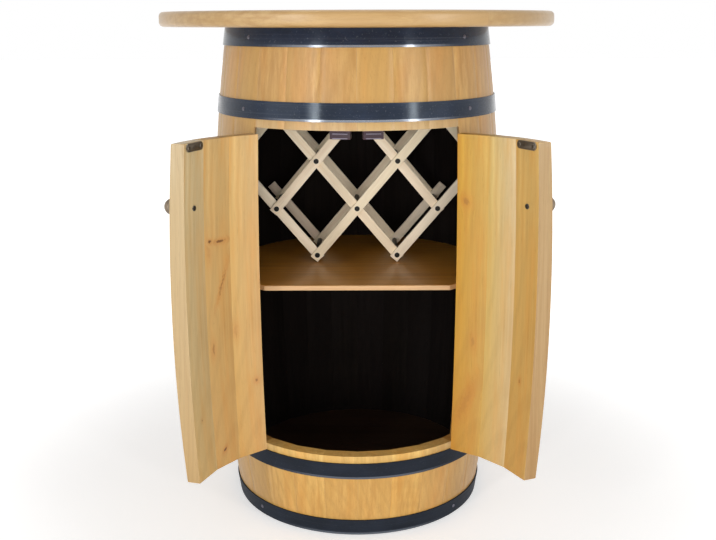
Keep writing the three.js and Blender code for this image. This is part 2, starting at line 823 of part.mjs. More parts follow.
function makeRack() {
  const frontWidth = latticeHalfWidth(frontLatticeFace);
  const backWidth = latticeHalfWidth(backLatticeFace);
  const crossings = rackCrossings(backWidth);
  const bars = (radius, from, to) => crossings.map(({ column, row }) => levelBar(
    radius, column * rackColumnSpacing, from, to, rowHeight(row), rodSides,
  ));
  const backEnd = backLatticeFace + latticeThickness;
  const front = joined([
    ...latticeSlats(rackCrossings(frontWidth), frontWidth, frontLatticeFace),
    ...bars(rodRadius, frontLatticeFace - rodProud, backEnd + rodProud),
  ]);
  const back = cutBy(
    joined(latticeSlats(crossings, backWidth, backLatticeFace)),
    bars(rodRadius + holeGap, backLatticeFace - cutOverrun, backEnd + cutOverrun),
  );
  return [
    part("rack_front_lattice_and_rods", front, paleWood),
    part("rack_back_lattice", back, paleWood),
  ];
}

const cabinet = new THREE.Group();
cabinet.add(
  ...makeStaves(),
  makeShortStaves("upper_short_staves", openingTop, barrelHeight, topGroove),
  makeShortStaves("lower_short_staves", 0, openingBottom, bottomGroove),
  makeHead("bottom_head", headInset),
  makeHead("top_head", topHeadBase),
  ...Object.entries(hoopBottoms).map(([name, bottom]) => makeHoop(name, bottom)),
  makeTabletop(),
  makeBearer(),
  makeShelf(),
  ...makeShelfRails(),
  ...makeRack(),
  makeCatch(-1, "left"),
  makeCatch(1, "right"),
  makeCatchRail(),
  ...makeFixedHinges(),
  makeDoor(-1, "left", leftDoorOpenAngle),
  makeDoor(1, "right", rightDoorOpenAngle),
);

export default cabinet;
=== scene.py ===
"""A barrel that opens as a bar cabinet: bowed oak staves in steel hoops, a round top, two staved
doors, a rack of crossed slats and a shelf. Metres, +Z up, the doorway faces -Y."""

import random
from contextlib import contextmanager
from math import atan2, cos, floor, hypot, pi, radians, sin, sqrt

import bmesh
import bpy
import numpy as np
from mathutils import Matrix, Vector


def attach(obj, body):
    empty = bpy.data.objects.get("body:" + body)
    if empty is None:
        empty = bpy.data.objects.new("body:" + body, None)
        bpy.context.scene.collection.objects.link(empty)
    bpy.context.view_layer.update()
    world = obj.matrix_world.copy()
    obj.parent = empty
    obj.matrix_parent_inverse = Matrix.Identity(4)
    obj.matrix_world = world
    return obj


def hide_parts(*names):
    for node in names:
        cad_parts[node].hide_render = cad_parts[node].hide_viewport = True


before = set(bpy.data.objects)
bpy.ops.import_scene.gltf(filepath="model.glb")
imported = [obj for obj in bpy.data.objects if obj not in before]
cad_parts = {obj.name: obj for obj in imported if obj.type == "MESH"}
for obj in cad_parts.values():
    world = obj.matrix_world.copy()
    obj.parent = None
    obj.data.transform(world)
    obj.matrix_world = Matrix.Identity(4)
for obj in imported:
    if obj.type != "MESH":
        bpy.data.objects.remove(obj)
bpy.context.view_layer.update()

# Barrel staves. The wall is twenty full staves of oak, narrower and thinner towards the ends, with
# turned faces outside and flat ones inside. They are bent, jointed edge to edge and lacquered, and
# the inside of the barrel is stained almost black.
BARREL_HEIGHT = 0.810
MID_HEIGHT = BARREL_HEIGHT / 2
BELLY_RADIUS = 0.2445
BELLY_WALL = 0.0255
END_BOW = 0.0309
END_THINNING = 0.0105
STAVE_COUNT = 26
STAVE_PITCH = 2 * pi / STAVE_COUNT
STAVE_ROWS = 20
STAVE_FACES = 6
JOINT_BEVEL = 0.0004
FOOT_BEVEL = 0.0015
EASED_FACE_AREA = 0.0004
SQUARE_FACE = 0.93
FACING = 0.9
SKIN = 0.002
NEAR = 0.001
HAIR = 0.0001
FAR_POINT = (3.1, 1.7, 0.9)


def bow(height):
    return ((height - MID_HEIGHT) / MID_HEIGHT) ** 2


def outer_radius(height):
    return BELLY_RADIUS - END_BOW * bow(height)


def inner_radius(height):
    return outer_radius(height) - BELLY_WALL + END_THINNING * bow(height)


def start_piece(name):
    """Names the primitive that was just added and puts its place into its mesh."""
    piece = bpy.context.object
    piece.name = piece.data.name = name
    bpy.ops.object.transform_apply(location=True, rotation=True, scale=True)
    return piece


def only(piece):
    """Leaves this piece as the one selected and active object."""
    bpy.ops.object.select_all(action="DESELECT")
    piece.select_set(True)
    bpy.context.view_layer.objects.active = piece


@contextmanager
def at_the_bench(piece):
    """Edit mode on this piece alone, with all of it selected."""
    only(piece)
    bpy.ops.object.mode_set(mode="EDIT")
    bpy.ops.mesh.select_all(action="SELECT")
    yield
    bpy.ops.object.mode_set(mode="OBJECT")


def pick(piece, kind, test):
    """In edit mode, selects the corners, edges or faces that pass the test."""
    bpy.ops.mesh.select_mode(type=kind)
    bpy.ops.mesh.select_all(action="DESELECT")
    blank = bmesh.from_edit_mesh(piece.data)
    parts = {"VERT": blank.verts, "EDGE": blank.edges, "FACE": blank.faces}[kind]
    for one in parts:
        if kind == "VERT":
            chosen = test(one.co)
        elif kind == "EDGE":
            chosen = test(one.verts[0].co, one.verts[1].co)
        else:
            chosen = test(one.calc_center_median(), one.normal)
        if chosen:
            one.select_set(True)
    bmesh.update_edit_mesh(piece.data)


def ease_edges(piece, width, test, segments=2):
    """Rounds the edges that pass the test."""
    with at_the_bench(piece):
        pick(piece, "EDGE", test)
        bpy.ops.mesh.bevel(offset=width, segments=segments, affect="EDGES")


def put_in_order(piece):
    """Numbers the corners, edges and faces by their distance from a far point, because spinning
    and extruding leave them in another order each run."""
    bpy.context.scene.cursor.location = FAR_POINT
    with at_the_bench(piece):
        bpy.ops.mesh.sort_elements(type="CURSOR_DISTANCE", elements={"VERT", "EDGE", "FACE"})


def smooth(piece, angle=32):
    only(piece)
    bpy.ops.object.shade_smooth_by_angle(angle=radians(angle))


def turned(angle):
    return Matrix.Rotation(angle, 4, "Z")


def read(items, field, width=3):
    """One vector or number from each corner or face."""
    numbers = np.empty(len(items) * width, np.float32)
    items.foreach_get(field, numbers)
    return numbers.reshape(-1, width)


def give_values(piece, name, kind, values):
    """Stores one value or vector for each corner or face under a name that materials read."""
    mesh = piece.data
    where, field, form = {
        "corner_vectors": ("POINT", "vector", "FLOAT_VECTOR"),
        "face_numbers": ("FACE", "value", "FLOAT"),
    }[kind]
    if name in mesh.attributes:
        mesh.attributes.remove(mesh.attributes[name])
    stored = mesh.attributes.new(name, form, where)
    stored.data.foreach_set(field, np.asarray(values, np.float32).ravel())


def face_normals(piece):
    return read(piece.data.polygons, "normal")


def lay_grain(piece, along="Z"):
    """Records the wood's own directions while the board still lies square: x across the grain, y
    through the board and z along it. Narrow slanting faces are its eased, worn edges."""
    order = {"Z": [0, 1, 2], "X": [1, 2, 0], "Y": [0, 2, 1]}[along]
    give_values(piece, "grain", "corner_vectors", read(piece.data.vertices, "co")[:, order])
    narrow = read(piece.data.polygons, "area", 1)[:, 0] < EASED_FACE_AREA
    slanting = np.abs(face_normals(piece)).max(axis=1) < SQUARE_FACE
    give_values(piece, "edge_wear_and_highlight", "face_numbers", slanting & narrow)


def shade(red, green, blue):
    """A colour as it looks on screen, in the numbers that a shader takes."""
    return tuple(
        (c / 255 / 12.92) if c <= 10 else ((c / 255 + 0.055) / 1.055) ** 2.4
        for c in (red, green, blue)
    ) + (1,)


class Finish:
    """A finish under way: its nodes are added one by one and linked as they are made."""

    def __init__(self, material, shader="Principled BSDF"):
        material.use_nodes = True
        self.material = material
        self.nodes = material.node_tree.nodes
        self.links = material.node_tree.links
        self.shader = self.nodes[shader]

    def feed(self, socket, value):
        if isinstance(value, bpy.types.NodeSocket):
            self.links.new(value, socket)
        else:
            socket.default_value = value

    def give(self, socket, value):
        """Sets a socket of the shader, or links it to a pattern."""
        self.feed(self.shader.inputs[socket], value)

    def add(self, kind, inputs=None, **settings):
        made = self.nodes.new(kind)
        for key, value in settings.items():
            setattr(made, key, value)
        for socket, value in (inputs or {}).items():
            self.feed(made.inputs[socket], value)
        return made

    def stored(self, name, output="Fac"):
        return self.add("ShaderNodeAttribute", attribute_name=name).outputs[output]

    def number(self, operation, first, second=0.0, limit=False):
        made = self.add(
            "ShaderNodeMath", {0: first, 1: second}, operation=operation, use_clamp=limit
        )
        return made.outputs[0]

    def vector(self, operation, first, second=(0, 0, 0)):
        made = self.add("ShaderNodeVectorMath", {0: first, 1: second}, operation=operation)
        return made.outputs["Value" if operation == "LENGTH" else "Vector"]

    def noise(self, place, stretch, detail=3, roughness=0.55):
        """Cloudy variation, with this many lumps to the metre across, through and along."""
        return self.add("ShaderNodeTexNoise", {
            "Vector": self.vector("MULTIPLY", place, stretch),
            "Scale": 1.0, "Detail": detail, "Roughness": roughness,
        })

    def span(self, value, low, high, to_low=0.0, to_high=1.0):
        made = self.add("ShaderNodeMapRange", {
            "Value": value, "From Min": low, "From Max": high,
            "To Min": to_low, "To Max": to_high,
        }, interpolation_type="SMOOTHSTEP")
        return made.outputs["Result"]

    def mix(self, share, first, second, way="MIX"):
        made = self.add("ShaderNodeMix", data_type="RGBA", blend_type=way)
        for socket, value in ((0, share), (6, first), (7, second)):
            self.feed(made.inputs[socket], value)
        return made.outputs[2]

    def bump(self, height, strength, depth):
        made = self.add(
            "ShaderNodeBump", {"Strength": strength, "Distance": depth, "Height": height}
        )
        self.give("Normal", made.outputs["Normal"])

    def put_on(self, piece, lining=None, lined=()):
        """Finishes the whole piece, or all of it but the lined faces, which take the lining."""
        piece.data.materials.clear()
        piece.data.materials.append(self.material)
        if lining:
            piece.data.materials.append(lining.material)
            piece.data.polygons.foreach_set("material_index", [int(face) for face in lined])


def wood_finish(name, dark, middle, light, worn=(226, 188, 132), grain=None, knots=(), rings=0.4,
                amber=0.0, gloss=0.42, coat=0.12, shine=0.5):
    """Sawn, sanded and lacquered wood. The grain runs along z of the stored directions, and amber
    is the depth of its warm flames. A knot is its place across and along the board, its half
    width and half length, its lean and its depth of colour."""
    look = Finish(bpy.data.materials.new(name))
    place = grain(look) if grain else look.stored("grain", "Vector")
    knot_cores = 0.0
    knot_halos = 0.0
    if knots:
        frayed = look.vector("SUBTRACT", look.noise(place, (330, 330, 150), 3).outputs["Color"],
                             (0.5, 0.5, 0.5))
    for across, along, width, length, lean, depth in knots:
        offset = look.vector("SUBTRACT", place, (across, 0, along))
        ragged = look.vector("ADD", offset, look.vector(
            "MULTIPLY", frayed, (width * 2.2, 0, length * 1.4)))
        parts = look.add("ShaderNodeSeparateXYZ", {"Vector": ragged}).outputs
        upright = look.number("SUBTRACT", parts["X"], look.number("MULTIPLY", parts["Z"], lean))
        aside = look.number("DIVIDE", upright, width)
        above = look.number("DIVIDE", parts["Z"], length)
        reach = look.number("ADD", look.number("MULTIPLY", aside, aside),
                            look.number("MULTIPLY", above, above))
        pull = look.number("EXPONENT", look.number("MULTIPLY", reach, -0.22))
        pulled = look.add("ShaderNodeVectorMath", {
            0: look.vector("MULTIPLY", offset, (-0.7, 0, -0.3)), "Scale": pull,
        }, operation="SCALE").outputs["Vector"]
        place = look.vector("ADD", place, pulled)
        core = look.number("MULTIPLY", look.span(reach, 1.2, 0.1), depth)
        knot_cores = look.number("MAXIMUM", core, knot_cores)
        halo = look.number("MULTIPLY", pull, 0.35 + 0.3 * depth)
        knot_halos = look.number("MAXIMUM", halo, knot_halos)
    wander = look.noise(place, (9, 9, 1.3), 2).outputs["Color"]
    drift = look.vector("MULTIPLY", look.vector("SUBTRACT", wander, (0.5, 0.5, 0.5)),
                        (0.007, 0.007, 0))
    fibres_at = look.vector("ADD", place, drift)
    streaks = look.noise(fibres_at, (120, 120, 1.4), 4, 0.6).outputs["Fac"]
    fibres = look.noise(fibres_at, (620, 620, 11), 3, 0.6).outputs["Fac"]
    pores = look.span(look.noise(fibres_at, (1150, 1150, 42), 1).outputs["Fac"], 0.63, 0.74)
    clouds = look.noise(place, (14, 14, 3.2), 2).outputs["Fac"]
    pith = look.add("ShaderNodeMapping", {
        "Vector": fibres_at, "Location": (0.013, 0.09, 0), "Rotation": (0.045, 0.03, 0),
    }).outputs["Vector"]
    year_rings = look.add("ShaderNodeTexWave", {
        "Vector": pith, "Scale": 46.0, "Distortion": 1.4, "Detail": 2.0, "Detail Scale": 0.28,
    }, wave_type="RINGS", rings_direction="Z").outputs["Fac"]
    body = look.mix(look.span(streaks, 0.3, 0.7), shade(*dark), shade(*light))
    body = look.mix(look.span(clouds, 0.3, 0.72), body, shade(*middle))
    late_wood = look.number("MULTIPLY", look.span(year_rings, 0.55, 0.98), 0.34 * rings)
    body = look.mix(late_wood, body, shade(*[c * 0.86 for c in dark]))
    body = look.mix(look.span(fibres, 0.35, 0.75, 0.0, 0.3), body, shade(*dark))
    body = look.mix(look.number("MULTIPLY", pores, 0.2), body, shade(*[c * 0.6 for c in dark]))
    if amber:
        flames = look.noise(fibres_at, (34, 34, 3.4), 4, 0.62).outputs["Fac"]
        body = look.mix(look.span(flames, 0.42, 0.72, 0.0, amber), body, shade(206, 140, 58))
    if knots:
        body = look.mix(knot_halos, body, shade(190, 122, 58))
        body = look.mix(knot_cores, body, shade(96, 58, 32))
    if not grain:
        body = look.mix(1.0, body, look.stored("tint", "Vector"), "MULTIPLY")
        edge_wear = look.number("MULTIPLY", look.stored("edge_wear_and_highlight"), 0.22)
        body = look.mix(edge_wear, body, shade(*worn))
    look.give("Base Color", body)
    look.give("Roughness", look.span(look.number("ADD", fibres, pores), 0.3, 1.2,
                                     gloss - 0.05, gloss + 0.16))
    height = look.number("SUBTRACT", look.number("ADD", fibres, streaks),
                         look.number("ADD", look.number("MULTIPLY", year_rings, 0.25), pores))
    look.bump(height, 0.28, 0.00035)
    look.give("Coat Weight", coat)
    look.give("Coat Roughness", 0.3)
    look.give("Specular IOR Level", shine)
    return look


stave_oak = wood_finish("stave_oak", (176, 132, 70), (190, 148, 81), (202, 162, 97), amber=0.3)
stained_wall = wood_finish("stained_wall", (17, 14, 13), (22, 18, 17), (28, 23, 21),
                           worn=(60, 46, 36), gloss=0.7, coat=0.0, shine=0.12)


def model_stave():
    """One stave at the front: a flat blank spun to its width, its inner face planed flat, and
    each row of corners drawn in to the barrel's bow."""
    inner_belly = inner_radius(MID_HEIGHT)
    outer_belly = outer_radius(MID_HEIGHT)
    wall_middle = (inner_belly + outer_belly) / 2
    half = STAVE_PITCH / 2
    bpy.ops.object.select_all(action="DESELECT")
    bpy.ops.mesh.primitive_grid_add(
        x_subdivisions=1, y_subdivisions=STAVE_ROWS, size=1,
        location=(0, -wall_middle, MID_HEIGHT), rotation=(pi / 2, 0, pi / 2),
    )
    bpy.context.object.scale = (BELLY_WALL, BARREL_HEIGHT, 1)
    stave = start_piece("stave_blank")
    stave.data.transform(turned(half))
    with at_the_bench(stave):
        bpy.ops.mesh.spin(
            steps=STAVE_FACES, angle=2 * half, center=(0, 0, 0), axis=(0, 0, 1), dupli=False
        )
        bpy.ops.mesh.select_all(action="SELECT")
        bpy.ops.mesh.remove_doubles(threshold=0.00001)
        pick(stave, "VERT", lambda at: hypot(at.x, at.y) < wall_middle)
        bpy.ops.transform.resize(
            value=(1 / cos(half), 0, 1), center_override=(0, -inner_belly, MID_HEIGHT)
        )
        for row in range(STAVE_ROWS + 1):
            height = BARREL_HEIGHT * row / STAVE_ROWS
            for radius, belly, inside in (
                (inner_radius(height), inner_belly, True),
                (outer_radius(height), outer_belly, False),
            ):
                pick(stave, "VERT", lambda at: abs(at.z - height) < NEAR and (
                    hypot(at.x, at.y) < wall_middle
                ) == inside)
                share = radius / belly
                bpy.ops.transform.resize(value=(share, share, 1), center_override=(0, 0, height))
        bpy.ops.mesh.select_all(action="SELECT")
        bpy.ops.mesh.normals_make_consistent(inside=False)
    return stave


def at_joint(a, b):
    """Whether an edge runs up the outer corner of a joint."""
    upright = abs(a.z - b.z) > hypot(a.x - b.x, a.y - b.y)
    outside = hypot(a.x, a.y) > outer_radius(a.z) - SKIN
    beside = abs(abs(atan2(a.x, -a.y)) - STAVE_PITCH / 2) < 0.01 * STAVE_PITCH
    return upright and outside and beside


def at_foot(a, b):
    """Whether an edge lies along the outer corner of the stave's lower end."""
    outside = min(hypot(a.x, a.y), hypot(b.x, b.y)) > outer_radius(0) - SKIN
    return max(a.z, b.z) < HAIR and outside


stave_blank = model_stave()
put_in_order(stave_blank)
ease_edges(stave_blank, JOINT_BEVEL, at_joint)
ease_edges(stave_blank, FOOT_BEVEL, at_foot)
put_in_order(stave_blank)
lay_grain(stave_blank)
stave_oak.put_on(stave_blank, stained_wall, face_normals(stave_blank)[:, 1] > FACING)
smooth(stave_blank)

# Full staves. Twenty of them, each from another log, run round the barrel. The one at each side of
# the doorway is sawn straight back, so that the barrel opens to the full width between the doors,
# and shallow housings in its face take the hinge leaves. Its jamb is lacquered.
FIRST_FULL_STAVE = 3
LAST_FULL_STAVE = 22
OPENING_BOTTOM = 0.147
OPENING_TOP = 0.663
DOORWAY_HALF_ANGLE = FIRST_FULL_STAVE * STAVE_PITCH
JAMB_TRIM = 0.001
JAMB_ROWS = 12
JAMB_REACH = 0.28
JAMB_WASTE = 0.06
HINGE_HEIGHT = 0.060
HINGE_PLACES = {"lower": 0.295, "upper": 0.515}
PIN_CIRCLE = BELLY_RADIUS + 0.003
KNUCKLE_RADIUS = 0.0036
LEAF_WIDTH = 0.030
LEAF_THICKNESS = 0.0018
LEAF_GAP = 0.0006
LEAF_SEAT = outer_radius(HINGE_PLACES["lower"] - HINGE_HEIGHT / 2)
HOUSING_GAP = 0.0003
HOUSING_START = -0.27
HOUSING_OVERCUT = 0.02
chance = random.Random(26)


def stave_middle(index):
    return (index + 0.5) * STAVE_PITCH


def add_block(name, low, high):
    """A block between its lowest and highest corner."""
    bpy.ops.object.select_all(action="DESELECT")
    middle = [(a + b) / 2 for a, b in zip(low, high)]
    bpy.ops.mesh.primitive_cube_add(size=1, location=middle)
    bpy.context.object.scale = [b - a for a, b in zip(low, high)]
    return start_piece(name)


def carve(piece, cutter):
    """Takes the cutter's shape out of the piece, and removes the cutter."""
    only(piece)
    cut = piece.modifiers.new("cut", "BOOLEAN")
    cut.operation, cut.solver, cut.object = "DIFFERENCE", "EXACT", cutter
    bpy.ops.object.modifier_apply(modifier=cut.name)
    bpy.data.objects.remove(cutter)


def copy_of(piece, name, move=Matrix.Identity(4)):
    """A copy with its own mesh, moved to its place."""
    twin = piece.copy()
    twin.data = piece.data.copy()
    twin.name = twin.data.name = name
    bpy.context.scene.collection.objects.link(twin)
    twin.data.transform(move)
    return twin


def cut_from_another_log(piece, tint=(1, 1, 1)):
    """Shifts the grain, so that no two boards match, and gives the board its own tint."""
    grain = piece.data.attributes["grain"].data
    shift = (chance.uniform(-0.04, 0.04), chance.uniform(-0.02, 0.02), chance.uniform(0, 9))
    places = read(grain, "vector") + np.array(shift, np.float32)
    grain.foreach_set("vector", places.ravel())
    give_values(piece, "tint", "corner_vectors", [tint] * len(piece.data.vertices))


def stave_tint(spread=0.05, tone=(1, 1, 1)):
    light = 1 + chance.uniform(-spread, spread)
    drift = (light, light * chance.uniform(0.975, 1.01), light * chance.uniform(0.94, 1.02))
    return [one * share for one, share in zip(tone, drift)]


def jamb_cutter(side):
    """A block as high as the doorway whose working face is bowed as the doors' hinge sides are."""
    face = side * (BELLY_RADIUS * sin(DOORWAY_HALF_ANGLE) + JAMB_TRIM)
    bpy.ops.object.select_all(action="DESELECT")
    bpy.ops.mesh.primitive_grid_add(
        x_subdivisions=1, y_subdivisions=JAMB_ROWS, size=1,
        location=(face, -JAMB_REACH / 2, (OPENING_BOTTOM + OPENING_TOP) / 2),
        rotation=(pi / 2, 0, pi / 2),
    )
    bpy.context.object.scale = (JAMB_REACH, OPENING_TOP - OPENING_BOTTOM, 1)
    cutter = start_piece("jamb_cutter")
    with at_the_bench(cutter):
        bpy.ops.mesh.extrude_region_move(
            TRANSFORM_OT_translate={"value": (-side * JAMB_WASTE, 0, 0)})
        for row in range(JAMB_ROWS + 1):
            height = OPENING_BOTTOM + (OPENING_TOP - OPENING_BOTTOM) * row / JAMB_ROWS
            pick(cutter, "VERT",
                 lambda at: abs(at.z - height) < NEAR and abs(at.x - face) < NEAR)
            drawn_in = (BELLY_RADIUS - outer_radius(height)) * sin(DOORWAY_HALF_ANGLE)
            bpy.ops.transform.translate(value=(-side * drawn_in, 0, 0))
        bpy.ops.mesh.select_all(action="SELECT")
        bpy.ops.mesh.normals_make_consistent(inside=False)
    put_in_order(cutter)
    return cutter


def leaf_edges(side, on_door):
    """Which way the pin lies, the pin's place and a leaf's two upright edges, seen with the leaf's
    own stave at the front."""
    towards_pin = side if on_door else -side
    pin_x = towards_pin * PIN_CIRCLE * sin(STAVE_PITCH / 2)
    near = pin_x - towards_pin * (KNUCKLE_RADIUS + LEAF_GAP)
    return towards_pin, pin_x, near, near - towards_pin * LEAF_WIDTH


def house_hinges(stave, side, on_door):
    towards_pin, pin_x, near, far = leaf_edges(side, on_door)
    reach = sorted((far - towards_pin * HOUSING_GAP, pin_x + towards_pin * HOUSING_OVERCUT))
    for height in HINGE_PLACES.values():
        half = HINGE_HEIGHT / 2 + HOUSING_GAP
        carve(stave, add_block(
            "housing", (reach[0], HOUSING_START, height - half),
            (reach[1], HOUSING_GAP - LEAF_SEAT, height + half),
        ))


for index in range(FIRST_FULL_STAVE, LAST_FULL_STAVE + 1):
    name = f"stave_{index - FIRST_FULL_STAVE + 1:02d}"
    stave = copy_of(stave_blank, name + "_turned")
    side = {FIRST_FULL_STAVE: 1, LAST_FULL_STAVE: -1}.get(index)
    if side:
        house_hinges(stave, side, on_door=False)
        stave.data.transform(turned(stave_middle(index)))
        carve(stave, jamb_cutter(side))
        stave.data.transform(turned(-stave_middle(index)))
        lay_grain(stave)
        stave_oak.put_on(stave, stained_wall, face_normals(stave)[:, 1] > FACING)
    cut_from_another_log(stave, stave_tint())
    stave.data.transform(turned(stave_middle(index)))
    smooth(stave)
    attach(stave, "cabinet")
    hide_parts(name)

# Short staves. Six of them close the wall above the doors and six below, jointed like the long
# ones. Their sawn ends make the header and the sill of the doorway, in bare lacquered wood.
SHORT_STAVE_BANDS = (
    ("upper", OPENING_TOP, -1, (0.96, 0.97, 1.0), (1.08, 1.28, 2.0)),
    ("lower", OPENING_BOTTOM, 1, (1.2, 1.2, 1.08), (1.2, 1.35, 1.6)),
)


def saw(piece, point, away, close=True):
    """Saws the piece along a plane, drops what lies on the away side and closes the cut."""
    with at_the_bench(piece):
        bpy.ops.mesh.bisect(plane_co=point, plane_no=away, use_fill=close, clear_outer=True)


def join_up(name, pieces):
    """Makes several fitted pieces one object."""
    bpy.ops.object.select_all(action="DESELECT")
    for one in pieces:
        one.select_set(True)
    bpy.context.view_layer.objects.active = pieces[0]
    if len(pieces) > 1:
        bpy.ops.object.join()
    pieces[0].name = pieces[0].data.name = name
    return pieces[0]


for band, cut_height, drop, tone, sawn_tone in SHORT_STAVE_BANDS:
    shorts = []
    for index in range(-FIRST_FULL_STAVE, FIRST_FULL_STAVE):
        short = copy_of(stave_blank, f"{band}_short_stave_{index + FIRST_FULL_STAVE + 1}")
        saw(short, (0, 0, cut_height), (0, 0, drop))
        lay_grain(short)
        stave_oak.put_on(short, stained_wall, face_normals(short)[:, 1] > FACING)
        tint = np.array(stave_tint(0.035, tone))
        cut_from_another_log(short, tint)
        give_values(short, "tint", "corner_vectors", [
            tint * sawn_tone if abs(corner.co.z - cut_height) < NEAR else tint
            for corner in short.data.vertices])
        short.data.transform(turned(stave_middle(index)))
        shorts.append(short)
    band_of_staves = join_up(f"{band}_short_staves_jointed", shorts)
    smooth(band_of_staves)
    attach(band_of_staves, "cabinet")
    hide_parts(f"{band}_short_staves")

# Heads. Each end of the barrel is closed by a round head of edge-joined boards, let into a groove
# in the staves. The lower one is the cabinet's floor. Both are stained dark.
HEAD_THICKNESS = 0.018
HEAD_INSET = 0.030
HEAD_BASES = {
    "bottom_head": HEAD_INSET, "top_head": BARREL_HEIGHT - HEAD_INSET - HEAD_THICKNESS,
}
GROOVE_DEPTH = 0.0047
HEAD_RADIUS = inner_radius(HEAD_INSET + HEAD_THICKNESS / 2) + GROOVE_DEPTH
HEAD_JOINTS = [-0.21, -0.128, -0.046, 0.034, 0.118, 0.21]
BOARD_GAP = 0.0003


def add_disc(name, radius, low, high, sides, middle=(0, 0)):
    """An upright round blank from one height to another."""
    bpy.ops.object.select_all(action="DESELECT")
    bpy.ops.mesh.primitive_cylinder_add(
        vertices=sides, radius=radius, depth=high - low,
        location=(middle[0], middle[1], (low + high) / 2),
    )
    return start_piece(name)


def board_up(blank, name, edges, along="X"):
    """Saws a blank into boards that lie side by side between these places."""
    boards = []
    for number, (start, end) in enumerate(zip(edges, edges[1:]), 1):
        board = copy_of(blank, f"{name}_board_{number}")
        saw(board, (0, end - BOARD_GAP / 2, 0), (0, 1, 0))
        saw(board, (0, start + BOARD_GAP / 2, 0), (0, -1, 0))
        lay_grain(board, along)
        boards.append(board)
    return boards


head_oak = wood_finish("head_oak", (48, 35, 26), (60, 44, 33), (72, 53, 39), worn=(92, 68, 50),
                       gloss=0.5)
for name, base in HEAD_BASES.items():
    blank = add_disc("head_blank", HEAD_RADIUS, base, base + HEAD_THICKNESS, 96)
    boards = board_up(blank, name, HEAD_JOINTS)
    bpy.data.objects.remove(blank)
    for board in boards:
        cut_from_another_log(board, stave_tint(0.1))
    head = join_up(name + "_boards", boards)
    smooth(head)
    head_oak.put_on(head)
    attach(head, "cabinet")
    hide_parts(name)

# Hoops. Four bands of rolled steel, painted dark blue-grey, follow the slope of the staves. Each
# is lapped and riveted at the back, and four nails through it keep it from slipping. A painted
# highlight brightens the lower edge of each band in front.
HOOP_HEIGHT = 0.0275
HOOP_THICKNESS = 0.002
HOOP_CLEARANCE = 0.0003
HOOP_SIDES = 156
END_HOOP_INSET = 0.001
MIDDLE_HOOP_INSET = 0.1072
HOOP_BASES = {
    "hoop_bottom": END_HOOP_INSET,
    "hoop_lower": MIDDLE_HOOP_INSET,
    "hoop_upper": BARREL_HEIGHT - MIDDLE_HOOP_INSET - HOOP_HEIGHT,
    "hoop_top": BARREL_HEIGHT - END_HOOP_INSET - HOOP_HEIGHT,
}
TOP_EDGE_BEVEL = 0.0005
LOW_EDGE_BEVEL = 0.0018
# The strip along each hoop's lower edge that takes a painted highlight, and how far round from the
# front it reaches.
HIGHLIGHT_BAND_HEIGHT = 0.0036
HIGHLIGHT_HALF_TURN = 0.55
LAP_REACH = 0.032
LAP_CLEARANCE = 0.0001
NAILED_STAVES = (3, 9)
RIVET_TURN = 0.075
NAIL_SIZE = 0.003, 0.0012
RIVET_SIZE = 0.0038, 0.0016
NAIL_SINK = 0.0002


def object_places(look):
    return look.add("ShaderNodeTexCoord").outputs["Object"]


def metal_finish(name, colour, bright, metallic, roughness, lines=(3, 3, 900), patches=18,
                 drawn_lines=0.3, bare_highlight_edge=0.0):
    """Rolled or brushed metal: fine drawn lines, cloudy tarnish and worn, brighter edges, which
    on painted metal are bare. The same mask carries the painted highlight along each hoop's lower
    edge in front, in the bright colour, and metallic on the upper hoops."""
    look = Finish(bpy.data.materials.new(name))
    place = object_places(look)
    drawn = look.noise(place, lines, 3).outputs["Fac"]
    tarnish = look.noise(place, (patches, patches, patches * 1.6), 5, 0.62).outputs["Fac"]
    specks = look.span(look.noise(place, (420, 420, 420), 2).outputs["Fac"], 0.62, 0.72)
    body = look.mix(look.span(tarnish, 0.3, 0.72), shade(*colour),
                    shade(*[c * 1.28 for c in colour]))
    body = look.mix(look.span(drawn, 0.52, 0.8, 0.0, drawn_lines), body, shade(*bright))
    body = look.mix(look.number("MULTIPLY", specks, 0.1), body, shade(*bright))
    # Worn edges, and on the hoops the painted highlight, lean to the bright colour.
    body = look.mix(look.number("MULTIPLY", look.stored("edge_wear_and_highlight"), 0.7), body, shade(*bright))
    look.give("Base Color", body)
    look.give("Metallic", metallic)
    # On the upper hoops the painted highlight is also made metallic, so that it mirrors the white
    # surround.
    if bare_highlight_edge:
        look.give("Metallic", look.number("MULTIPLY", look.stored("edge_wear_and_highlight"), bare_highlight_edge,
                                          limit=True))
    look.give("Roughness", look.span(look.number("ADD", tarnish, drawn), 0.6, 1.4,
                                     roughness - 0.07, roughness + 0.1))
    look.bump(look.number("ADD", drawn, specks), 0.2, 0.00012)
    return look


def mark_worn_edges(piece):
    """Marks the narrow slanting faces of a square or turned metal piece."""
    normals = np.abs(face_normals(piece))
    level = np.hypot(normals[:, 0], normals[:, 1])
    slant = (level > 0.3) & (level < SQUARE_FACE)
    give_values(piece, "edge_wear_and_highlight", "face_numbers", slant)


def both_at(a, b, height, slack=HAIR):
    """Whether an edge lies at this height."""
    return max(abs(a.z - height), abs(b.z - height)) < slack


def paint_front_highlight(band, base):
    """Paints a highlight along the band's lower edge, strongest in front and fading round the
    sides.
    """
    centres = read(band.data.polygons, "center")
    normals = face_normals(band)
    outwards = np.sum(normals[:, :2] * centres[:, :2], axis=1) > 0.05
    aside = np.arctan2(centres[:, 0], -centres[:, 1]) - 0.05
    lower_edge = outwards & (centres[:, 2] < base + HIGHLIGHT_BAND_HEIGHT)
    painted_highlight = lower_edge * np.exp(-(aside / HIGHLIGHT_HALF_TURN) ** 4)
    give_values(band, "edge_wear_and_highlight", "face_numbers", painted_highlight)


